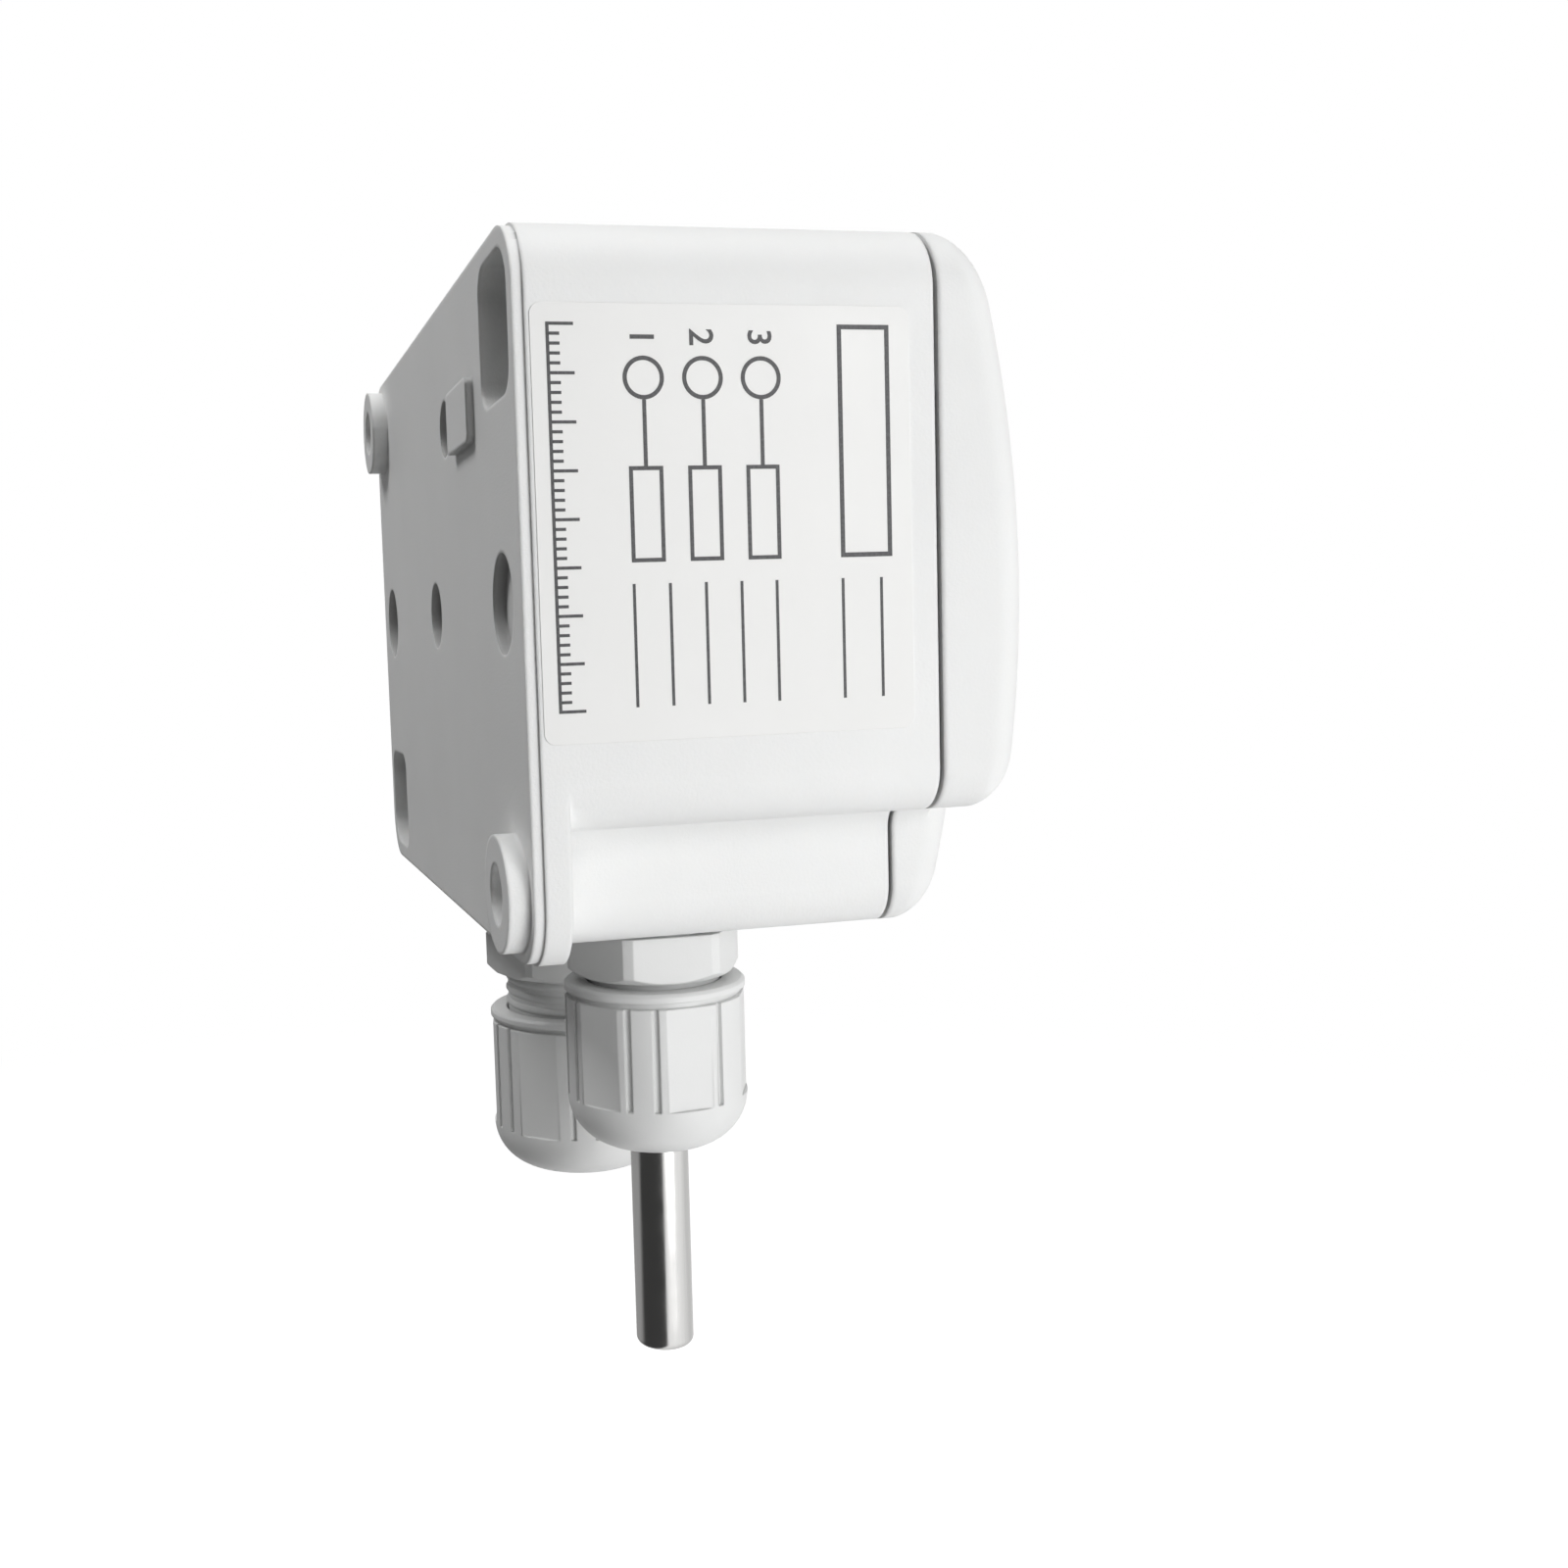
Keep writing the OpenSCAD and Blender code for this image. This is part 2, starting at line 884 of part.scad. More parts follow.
module probe_gland_body() {
    bore_d = probe_d + 2*probe_slack;
    under(-probe_x)
        gland_body(probe_thread_d, probe_hex_af, 0, probe_hex_h, probe_sleeve_l, bore_d, probe_hex_turn);
}

module cable_gland_body() {
    under(cable_x)
        gland_body(
            cable_thread_d, cable_hex_af, cable_collar_l, cable_hex_h, cable_sleeve_l, cable_pass_d,
            cable_hex_turn
        );
}

module probe_gland_washer() {
    under(-probe_x)
        gland_washer(probe_thread_d, 0);
}

module cable_gland_washer() {
    under(cable_x)
        gland_washer(cable_thread_d, cable_collar_l);
}

module probe_gland_claw() {
    under(-probe_x)
        gland_claw(probe_thread_d, probe_bore_d, probe_claw_top, probe_claw_l);
}

module cable_gland_claw() {
    under(cable_x)
        gland_claw(cable_thread_d, cable_bore_d, cable_claw_top, cable_claw_l);
}

module probe_gland_insert() {
    under(-probe_x)
        gland_insert(probe_thread_d, probe_bore_d, probe_claw_top, probe_claw_l - finger_l);
}

module cable_gland_insert() {
    under(cable_x)
        gland_insert(cable_thread_d, cable_bore_d, cable_claw_top, cable_claw_l - finger_l);
}

module probe_gland_nut() {
    sleeve_in = probe_sleeve_l - probe_nut_gap + clear;
    hole_d = probe_d + 2*probe_slack;
    under(-probe_x)
        gland_nut(
            probe_thread_d, probe_bore_d, probe_nut_d, probe_nut_l, probe_nut_top, sleeve_in, hole_d,
            probe_nut_turn
        );
}

module cable_gland_nut() {
    sleeve_in = cable_sleeve_l - cable_nut_gap + nut_travel + clear;
    under(cable_x)
        gland_nut(
            cable_thread_d, cable_bore_d, cable_nut_d, cable_nut_l, cable_nut_top, sleeve_in, cable_pass_d,
            cable_nut_turn
        );
}

module probe_tube() {
    l = probe_tip + tube_in_l;
    color([0.78, 0.78, 0.78])
    under(-probe_x)
        translate([0, 0, -tube_in_l])
            difference() {
                rotate_extrude()
                    difference() {
                        square([probe_d/2, l]);
                        nip(probe_d/2, l, -1, -1, tube_end_r);
                    }
                translate([0, 0, -over])
                    cylinder(d = probe_d - 2*tube_t, h = l - tube_t + over);
            }
}

// Both leads side by side, from one depth to another, grown by g
module lead_pair(from, to, g) {
    for (side = [-1, 1])
        lead(side, from, to, g);
}

module lead(side, from, to, g) {
    translate([side*(lead_d + lead_gap)/2, 0, from])
        cylinder(d = lead_d + 2*g, h = to - from);
}

element_end = probe_tip - tube_t - element_up;
lead_end = element_end - element_l;
lead_start = -(body_h/2 - board_foot) - term_edge - link_bore_l + clear;

module probe_potting() {
    top = probe_tip - tube_t - potting_l;
    color([0.75, 0.72, 0.62])
    under(-probe_x)
        difference() {
            translate([0, 0, top])
                cylinder(d = probe_d - 2*tube_t - 2*seat, h = potting_l - seat);
            translate([0, 0, element_end - element_l/2])
                cube([element_w + 2*seat, element_t + 2*seat, element_l + 2*seat], center = true);
            lead_pair(top - over, lead_end, seat);
        }
}

module probe_plug() {
    color([0.12, 0.12, 0.12])
    under(-probe_x)
        translate([0, 0, -tube_in_l - plug_proud])
            difference() {
                cylinder(d = probe_d - 2*tube_t - 2*seat, h = plug_l);
                lead_pair(-over, plug_l + over, seat);
            }
}

module sensor_element() {
    color([0.92, 0.92, 0.88])
    under(-probe_x)
        translate([0, 0, element_end - element_l/2])
            cube([element_w, element_t, element_l], center = true);
}

module probe_lead_1() {
    color([0.75, 0.1, 0.1])
    under(-probe_x)
        lead(-1, lead_start, lead_end, 0);
}

module probe_lead_2() {
    color([0.9, 0.9, 0.9])
    under(-probe_x)
        lead(1, lead_start, lead_end, 0);
}

module board_outline() {
    side = body_w/2 - wall_t - board_side_gap;
    high = body_h/2 - wall_t - board_top_gap;
    screw_x = pocket_cx + pocket_w/2 + pocket_part_t + board_corner_gap;
    screw_z = pocket_cz - pocket_h/2 - pocket_part_t - board_corner_gap;
    ear_x = body_w/2 - notch_w - wall_t - board_corner_gap;
    ear_z = body_h/2 - notch_h - wall_t - board_corner_gap;
    difference() {
        block(-side, side, -board_foot, high);
        block(-side - over, screw_x, screw_z, high + over);
        block(ear_x, side + over, ear_z, high + over);
        nip(-side, -board_foot, 1, 1, board_r);
        nip(side, -board_foot, -1, 1, board_r);
    }
}

module circuit_board() {
    color([0.1, 0.42, 0.25])
    front()
        translate([0, 0, board_back])
            difference() {
                linear_extrude(board_t)
                    board_outline();
                at_board_posts()
                    translate([0, 0, -over])
                        cylinder(d = board_hole_d, h = board_t + 2*over);
                for (k = [0 : pole_count - 1])
                    translate([pole_x(k), term_low + contact_z + contact_t/2, -over])
                        cylinder(d = pin_hole_d, h = board_t + 2*over);
            }
}

// Puts a piece on the board with its foot at (x, z)
module on_board(x, z) {
    front()
        translate([x, z, board_front])
            children();
}

function pole_x(k) = cable_x + (k - (pole_count - 1)/2)*pole_pitch;

term_low = -board_foot + term_edge;
chamber_top = cage_foot + cage_h + cage_travel + clear;
plate_top = cage_foot + cage_h - cage_t - clear;
head_foot = chamber_top + seat;

module terminal_block() {
    w = pole_count*pole_pitch + 2*term_wall_t;
    color([0.16, 0.42, 0.3])
    difference() {
        on_board(cable_x - w/2, term_low)
            cube([w, term_w, term_h]);
        for (k = [0 : pole_count - 1])
            on_board(pole_x(k), term_low)
                terminal_chamber();
    }
}

module terminal_chamber() {
    w = cage_w + 2*groove_clear;
    back = contact_z + contact_t + groove_clear;
    translate([-w/2, -over, cage_foot - clear])
        cube([w, back + over, chamber_top - cage_foot + clear]);
    translate([-contact_w/2 - groove_clear, contact_z - groove_clear, -over])
        cube([contact_w + 2*groove_clear, contact_t + 2*groove_clear, cage_foot + over]);
    translate([0, cage_mid, cage_foot])
        cylinder(d = term_head_d + 2*groove_clear, h = term_h);
}

module terminal_screw(k) {
    color([0.75, 0.75, 0.76])
    on_board(pole_x(k), term_low + cage_mid)
        difference() {
            union() {
                translate([0, 0, plate_top + groove_clear])
                    cylinder(d = term_screw_d, h = head_foot - plate_top);
                translate([0, 0, head_foot])
                    cylinder(d = term_head_d, h = term_head_t);
            }
            translate([0, 0, head_foot + term_head_t - term_slot_d/2 + over/2])
                cube([term_head_d + over, term_slot_w, term_slot_d + over], center = true);
        }
}

module terminal_screw_1() {
    terminal_screw(0);
}

module terminal_screw_2() {
    terminal_screw(1);
}

module terminal_screw_3() {
    terminal_screw(2);
}

module terminal_cage(k) {
    color([0.8, 0.78, 0.7])
    on_board(pole_x(k), term_low + cage_mid)
        difference() {
            translate([-cage_w/2, -cage_l/2, cage_foot])
                cube([cage_w, cage_l, cage_h]);
            translate([-cage_w/2 + cage_t, -cage_l/2 - over, cage_foot + cage_t])
                cube([cage_w - 2*cage_t, cage_l + 2*over, cage_h - 2*cage_t]);
            translate([0, 0, cage_foot + cage_t])
                cylinder(d = term_screw_d + 2*run_clear, h = cage_h);
        }
}

module terminal_cage_1() {
    terminal_cage(0);
}

module terminal_cage_2() {
    terminal_cage(1);
}

module terminal_cage_3() {
    terminal_cage(2);
}

// Contact: plate through the cage's window, leg behind it and pin in the board
module terminal_contact(k) {
    color([0.8, 0.65, 0.4])
    on_board(pole_x(k), term_low) {
        translate([-contact_w/2, clear, plate_top - contact_t])
            cube([contact_w, contact_z + contact_t - clear, contact_t]);
        translate([-contact_w/2, contact_z, seat])
            cube([contact_w, contact_t, plate_top - seat]);
        translate([0, contact_z + contact_t/2, -board_t - contact_pin_l])
            cylinder(d = contact_t, h = board_t + contact_pin_l + over);
    }
}

module terminal_contact_1() {
    terminal_contact(0);
}

module terminal_contact_2() {
    terminal_contact(1);
}

module terminal_contact_3() {
    terminal_contact(2);
}

module probe_connector() {
    color([0.85, 0.85, 0.82])
    difference() {
        on_board(-probe_x - link_w/2, term_low)
            cube([link_w, link_l, link_h]);
        under(-probe_x)
            lead_pair(lead_start - clear, lead_start + link_bore_l + over, (link_bore_d - lead_d)/2);
    }
}

module range_switch() {
    slot_w = lever_w + 2*groove_clear;
    slot_l = lever_l + lever_travel + 2*groove_clear;
    color([0.7, 0.12, 0.1])
    on_board(dip_x, dip_z)
        difference() {
            translate([-dip_w/2, -dip_l/2, 0])
                cube([dip_w, dip_l, dip_h]);
            for (k = [-1 : 1])
                translate([k*lever_pitch - slot_w/2, -slot_l/2, dip_h + lever_up - lever_h - seat])
                    cube([slot_w, slot_l, lever_h + over]);
        }
}

module range_lever(k) {
    color([0.95, 0.95, 0.95])
    on_board(dip_x + k*lever_pitch - lever_w/2, dip_z - (lever_l + lever_travel)/2)
        translate([0, 0, dip_h + lever_up - lever_h])
            cube([lever_w, lever_l, lever_h]);
}

module range_lever_1() {
    range_lever(-1);
}

module range_lever_2() {
    range_lever(0);
}

module range_lever_3() {
    range_lever(1);
}

module trimmer_body() {
    color([0.15, 0.3, 0.6])
    on_board(trim_x, trim_z)
        difference() {
            translate([-trim_w/2, -trim_w/2, 0])
                cube([trim_w, trim_w, trim_h]);
            translate([0, 0, trim_h - rotor_t])
                cylinder(d = rotor_d + 2*run_clear, h = rotor_t + over);
        }
}

module trimmer_rotor() {
    color([0.9, 0.9, 0.88])
    on_board(trim_x, trim_z)
        translate([0, 0, trim_h - rotor_t + seat])
            difference() {
                cylinder(d = rotor_d, h = rotor_t);
                translate([0, 0, rotor_t])
                    cube([rotor_d + over, rotor_slot_w, rotor_t], center = true);
            }
}

module main_chip() {
    color([0.1, 0.1, 0.11])
    on_board(chip_x - chip_w/2, chip_z - chip_l/2)
        cube([chip_w, chip_l, chip_h]);
}

module supply_chip() {
    color([0.1, 0.1, 0.11])
    on_board(supply_x - supply_w/2, supply_z - supply_l/2)
        cube([supply_w, supply_l, supply_h]);
}

module capacitor() {
    color([0.8, 0.8, 0.82])
    on_board(can_x, can_z) {
        translate([-can_d/2, -can_d/2, 0])
            cube([can_d, can_d, can_base_h]);
        cylinder(d = can_d, h = can_h);
    }
}

module supply_coil() {
    half = coil_w/2;
    color([0.3, 0.3, 0.32])
    on_board(coil_x, coil_z)
        linear_extrude(coil_h)
            difference() {
                square(coil_w, center = true);
                nip(-half, -half, 1, 1, coil_r);
                nip(half, -half, -1, 1, coil_r);
                nip(-half, half, 1, -1, coil_r);
                nip(half, half, -1, -1, coil_r);
            }
}

module status_lamp() {
    color([0.3, 0.8, 0.35])
    on_board(lamp_x, lamp_z) {
        cylinder(d = lamp_flange_d, h = lamp_flange_t);
        cylinder(d = lamp_d, h = lamp_h - lamp_d/2);
        translate([0, 0, lamp_h - lamp_d/2])
            sphere(d = lamp_d);
    }
}

housing_base();
front_cover();
cover_seal();
cover_screw_1();
cover_screw_2();
screw_ring_1();
screw_ring_2();
probe_gland_body();
probe_gland_washer();
probe_gland_claw();
probe_gland_insert();
probe_gland_nut();
cable_gland_body();
cable_gland_washer();
cable_gland_claw();
cable_gland_insert();
cable_gland_nut();
probe_tube();
probe_potting();
probe_plug();
sensor_element();
probe_lead_1();
probe_lead_2();
circuit_board();
terminal_block();
probe_connector();
terminal_screw_1();
terminal_screw_2();
terminal_screw_3();
terminal_cage_1();
terminal_cage_2();
terminal_cage_3();
terminal_contact_1();
terminal_contact_2();
terminal_contact_3();
range_switch();
range_lever_1();
range_lever_2();
range_lever_3();
trimmer_body();
trimmer_rotor();
main_chip();
supply_chip();
capacitor();
supply_coil();
status_lamp();
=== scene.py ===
import math

import bmesh
import bpy
import numpy as np
from mathutils import Matrix, Vector


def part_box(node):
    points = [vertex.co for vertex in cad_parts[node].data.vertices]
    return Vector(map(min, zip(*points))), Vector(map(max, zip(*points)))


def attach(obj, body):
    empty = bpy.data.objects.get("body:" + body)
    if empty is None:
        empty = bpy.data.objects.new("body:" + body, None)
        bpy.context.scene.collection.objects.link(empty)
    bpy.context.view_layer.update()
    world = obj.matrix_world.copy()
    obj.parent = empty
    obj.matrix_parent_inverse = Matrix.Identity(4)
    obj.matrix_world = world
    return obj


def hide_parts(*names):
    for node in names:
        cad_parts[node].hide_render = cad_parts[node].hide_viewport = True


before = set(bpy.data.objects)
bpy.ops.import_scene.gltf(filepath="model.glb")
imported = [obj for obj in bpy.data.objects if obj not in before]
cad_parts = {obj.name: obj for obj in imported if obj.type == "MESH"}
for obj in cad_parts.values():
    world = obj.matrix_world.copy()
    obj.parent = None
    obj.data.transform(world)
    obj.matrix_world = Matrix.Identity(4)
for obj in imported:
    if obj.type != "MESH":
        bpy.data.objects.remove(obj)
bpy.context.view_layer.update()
mm = 0.001
print("frame loaded:", len(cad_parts), "nodes")


# a new object, linked into the scene
def addObject(name, data):
    thing = bpy.data.objects.new(name, data)
    bpy.context.scene.collection.objects.link(thing)
    return thing


view = {
    "place": (-173.679, 25.448, -3.902),  # mm, from the fit to the photograph's edges
    "right": (-0.22513, -0.97363, -0.03681),
    "down": (-0.07705, 0.05546, -0.99548),
    "forward": (0.97128, -0.22128, -0.08750),
    "lens": 35.855,
    "sensor": 36.0,
    "shift": 0.15,
    "clip": (0.004, 20),  # metres
}


def addCamera(s):
    data = bpy.data.cameras.new("photoCamera")
    data.sensor_width = s["sensor"]
    data.lens = s["lens"]
    data.shift_x = s["shift"]
    data.clip_start, data.clip_end = s["clip"]
    cam = addObject("photoCamera", data)
    turn = Matrix((s["right"], [-v for v in s["down"]], [-v for v in s["forward"]])).transposed()
    cam.matrix_world = Matrix.Translation(Vector(s["place"]) * mm) @ turn.to_4x4()
    bpy.context.scene.camera = cam


addCamera(view)
print("camera placed")


# sets a node's sockets, each by a value or by a link
def setSockets(tree, node, sockets):
    for key, value in sockets.items():
        if isinstance(value, bpy.types.NodeSocket):
            tree.links.new(value, node.inputs[key])
        else:
            node.inputs[key].default_value = value


def addNode(tree, kind, sockets=None, **settings):
    node = tree.nodes.new(kind)
    for key, value in settings.items():
        setattr(node, key, value)
    setSockets(tree, node, sockets or {})
    return node


def startMaterial(name):
    mat = bpy.data.materials.new(name)
    mat.use_nodes = True
    tree = mat.node_tree
    shader = tree.nodes["Principled BSDF"]
    place = addNode(tree, "ShaderNodeTexCoord").outputs["Object"]
    return mat, tree, shader, place


def noiseAt(tree, place, size, detail=3.0, rough=0.55, stretch=None):
    # size is the width of one blotch in metres, stretch scales the three directions
    if stretch:
        place = addNode(tree, "ShaderNodeMapping", {"Vector": place, "Scale": stretch}).outputs["Vector"]
    sockets = {"Vector": place, "Scale": 1 / size, "Detail": detail, "Roughness": rough}
    return addNode(tree, "ShaderNodeTexNoise", sockets).outputs["Fac"]


def rampOf(tree, fac, stops):
    node = addNode(tree, "ShaderNodeValToRGB", {"Fac": fac})
    ramp = node.color_ramp
    while len(ramp.elements) < len(stops):
        ramp.elements.new(0.5)
    for element, (at, colour) in zip(ramp.elements, stops):
        element.position = at
        element.color = (*colour, 1)
    return node.outputs["Color"]


def levelOf(tree, fac, low, high, start=0.3, end=0.7, **settings):
    sockets = {"Value": fac, "From Min": start, "From Max": end, "To Min": low, "To Max": high}
    return addNode(tree, "ShaderNodeMapRange", sockets, **settings).outputs["Result"]


def mathOf(tree, operation, *values):
    return addNode(tree, "ShaderNodeMath", dict(enumerate(values)), operation=operation).outputs[0]


def scaled(tree, colour, factor):
    sockets = {0: colour, "Scale": factor}
    return addNode(tree, "ShaderNodeVectorMath", sockets, operation="SCALE").outputs[0]


def mixed(tree, fac, low, high):
    sockets = {0: fac, 2: low, 3: high}
    return addNode(tree, "ShaderNodeMix", sockets, data_type="FLOAT").outputs[0]


def partsOf(tree, vector):
    return addNode(tree, "ShaderNodeSeparateXYZ", {0: vector}).outputs


softSamples = 6  # rays for rounded edges and for the painted shade in recesses


def roundEdges(tree, radius):
    return addNode(tree, "ShaderNodeBevel", {"Radius": radius}, samples=softSamples).outputs["Normal"]


def bumpOf(tree, height, depth, strength=1.0, normal=None):
    sockets = {"Height": height, "Distance": depth, "Strength": strength}
    if normal:
        sockets["Normal"] = normal
    return addNode(tree, "ShaderNodeBump", sockets).outputs["Normal"]


def toned(tint, share):
    return tuple(c * share for c in tint)


# 1 where |x| and |z| lie within the outer walls, and x * z is too small for a notched corner; there the
# painted shade in recesses sets in at more open spots
def insideOutline(tree, place, s):
    parts = partsOf(tree, place)
    x, z = parts["X"], parts["Z"]
    betweenSides = mathOf(tree, "LESS_THAN", mathOf(tree, "ABSOLUTE", x), s["insideX"])
    betweenEnds = mathOf(tree, "LESS_THAN", mathOf(tree, "ABSOLUTE", z), s["insideZ"])
    offNotch = mathOf(tree, "LESS_THAN", mathOf(tree, "MULTIPLY", x, z), s["notchXZ"])
    return mathOf(tree, "MULTIPLY", mathOf(tree, "MULTIPLY", betweenSides, betweenEnds), offNotch)


plasticPlain = {
    "blotch": 18 * mm, "drift": 0.03,  # width and share of the slow change of tone
    "grain": 0.28 * mm, "depth": 0.02 * mm, "bump": 0.5,  # width, height and strength of the grain
    "rough": 0.5, "smoother": 0.05, "rougher": 0.06,  # and what the grain takes off and adds
    "edge": 0.35 * mm,
    "throughTint": (0.9, 0.8, 0.7), "throughReach": 0.8 * mm,
}


# moulded plastic: spark-eroded grain, a slow drift of tone, rounded edges, and where asked painted shade
# darkening the colour in recesses
def plastic(name, given):
    s = {**plasticPlain, **given}
    mat, tree, shader, place = startMaterial(name)
    slow = noiseAt(tree, place, s["blotch"], detail=2.0)
    colour = rampOf(tree, slow, [(0.32, toned(s["tint"], 1 - s["drift"])), (0.68, s["tint"])])
    if "paintedShadeReach" in s:  # painted shade: the colour darkened by ambient occlusion in holes, pockets and corners narrower than the reach
        reach = {"Distance": s["paintedShadeReach"]}
        clear = addNode(tree, "ShaderNodeAmbientOcclusion", reach, samples=softSamples).outputs["AO"]
        outer = levelOf(tree, clear, s["paintedShadeTone"], 1.0, *s["outerSpan"])
        inner = levelOf(tree, clear, s["paintedShadeTone"], 1.0, *s["innerSpan"])
        colour = scaled(tree, colour, mixed(tree, insideOutline(tree, place, s), outer, inner))
    grain = noiseAt(tree, place, s["grain"], detail=2.5, rough=0.6)
    setSockets(tree, shader, {
        "Base Color": colour,
        "Roughness": levelOf(tree, grain, s["rough"] - s["smoother"], s["rough"] + s["rougher"]),
        "Normal": bumpOf(tree, grain, s["depth"], s["bump"], roundEdges(tree, s["edge"])),
    })
    if "through" in s:  # light that passes a little way into the plastic
        setSockets(tree, shader, {
            "Subsurface Weight": s["through"],
            "Subsurface Radius": s["throughTint"],
            "Subsurface Scale": s["throughReach"],
        })
    return mat


rubberPlain = {
    "bloom": 3 * mm, "bloomGain": 1.5, "bloomLift": 0.02,  # width of the dusty bloom, and its tone
    "rough": (0.55, 0.8), "sheen": 0.15,
    "grain": 0.15 * mm, "depth": 0.015 * mm, "bump": 0.5, "edge": 0.15 * mm,
}


# rubber: matt, with a fine dusty bloom
def rubber(name, given):
    s = {**rubberPlain, **given}
    mat, tree, shader, place = startMaterial(name)
    bloom = noiseAt(tree, place, s["bloom"], detail=5.0, rough=0.65)
    pale = tuple(c * s["bloomGain"] + s["bloomLift"] for c in s["tint"])
    fine = noiseAt(tree, place, s["grain"], detail=2.0)
    setSockets(tree, shader, {
        "Base Color": rampOf(tree, bloom, [(0.42, s["tint"]), (0.75, pale)]),
        "Roughness": levelOf(tree, bloom, *s["rough"]),
        "Sheen Weight": s["sheen"],
        "Normal": bumpOf(tree, fine, s["depth"], s["bump"], roundEdges(tree, s["edge"])),
    })
    return mat


metalPlain = {
    "stretch": (1, 1, 1), "drift": 0.12,  # direction and share of the streaks
    "blotch": 6 * mm, "rough": 0.3, "smoother": 0.04, "rougher": 0.08,
    "depth": 0.004 * mm, "bump": 0.4, "edge": 0.12 * mm,
}


# metal: streaks along one direction, slow cloudy change of gloss
def metal(name, given):
    s = {**metalPlain, **given}
    mat, tree, shader, place = startMaterial(name)
    streak = noiseAt(tree, place, s["line"], detail=4.0, rough=0.6, stretch=s["stretch"])
    cloud = noiseAt(tree, place, s["blotch"], detail=2.0)
    dark = toned(s["tint"], 1 - s["drift"])
    setSockets(tree, shader, {
        "Base Color": rampOf(tree, streak, [(0.3, dark), (0.7, s["tint"])]),
        "Metallic": 1.0,
        "Roughness": levelOf(tree, cloud, s["rough"] - s["smoother"], s["rough"] + s["rougher"]),
        "Normal": bumpOf(tree, streak, s["depth"], s["bump"], roundEdges(tree, s["edge"])),
    })
    return mat


# circuit board: green lacquer over copper lines on a glass weave
def boardLacquer(name, s):
    mat, tree, shader, place = startMaterial(name)
    upright = {"Vector": place, "Rotation": (math.pi / 2, 0, 0)}
    turned = addNode(tree, "ShaderNodeMapping", upright).outputs["Vector"]
    sockets = {"Vector": turned, "Scale": 1 / s["pitch"], "Randomness": s["scatter"]}
    cells = addNode(tree, "ShaderNodeTexVoronoi", sockets, feature="DISTANCE_TO_EDGE").outputs["Distance"]
    lines = levelOf(tree, cells, 1, 0, *s["lineSpan"])
    weave = noiseAt(tree, turned, s["weave"], detail=1.0, rough=0.5)
    setSockets(tree, shader, {
        "Base Color": rampOf(tree, lines, [(0.2, s["tint"]), (0.8, s["track"])]),
        "Roughness": levelOf(tree, weave, *s["rough"]),
        "Coat Weight": s["coat"],
        "Normal": bumpOf(tree, lines, s["depth"], s["bump"], roundEdges(tree, s["edge"])),
    })
    return mat


# tinted lens of the status lamp
def lens(name, s):
    mat, tree, shader, place = startMaterial(name)
    cloud = noiseAt(tree, place, s["blotch"], detail=1.0)
    dark = toned(s["tint"], 1 - s["drift"])
    setSockets(tree, shader, {
        "Base Color": rampOf(tree, cloud, [(0.3, dark), (0.7, s["tint"])]),
        "Roughness": levelOf(tree, cloud, *s["rough"]),
        "Transmission Weight": s["clear"],
        "Coat Weight": s["coat"],
    })
    return mat


# label foil: a satin film with a faint ripple from the wall's grain under it
def foil(name, s):
    mat, tree, shader, place = startMaterial(name)
    slow = noiseAt(tree, place, s["blotch"], detail=2.0)
    ripple = noiseAt(tree, place, s["ripple"], detail=2.0, rough=0.5)
    setSockets(tree, shader, {
        "Base Color": rampOf(tree, slow, [(0.3, s["low"]), (0.7, s["tint"])]),
        "Roughness": levelOf(tree, slow, *s["rough"]),
        "Normal": bumpOf(tree, ripple, s["depth"], s["bump"]),
    })
    return mat


# print on the label: dark ribbon print, slightly uneven
def ink(name, s):
    mat, tree, shader, place = startMaterial(name)
    wear = noiseAt(tree, place, s["wear"], detail=3.0, rough=0.7)
    setSockets(tree, shader, {
        "Base Color": rampOf(tree, wear, [(0.35, s["tint"]), (0.8, s["thin"])]),
        "Roughness": levelOf(tree, wear, *s["rough"]),
    })
    return mat


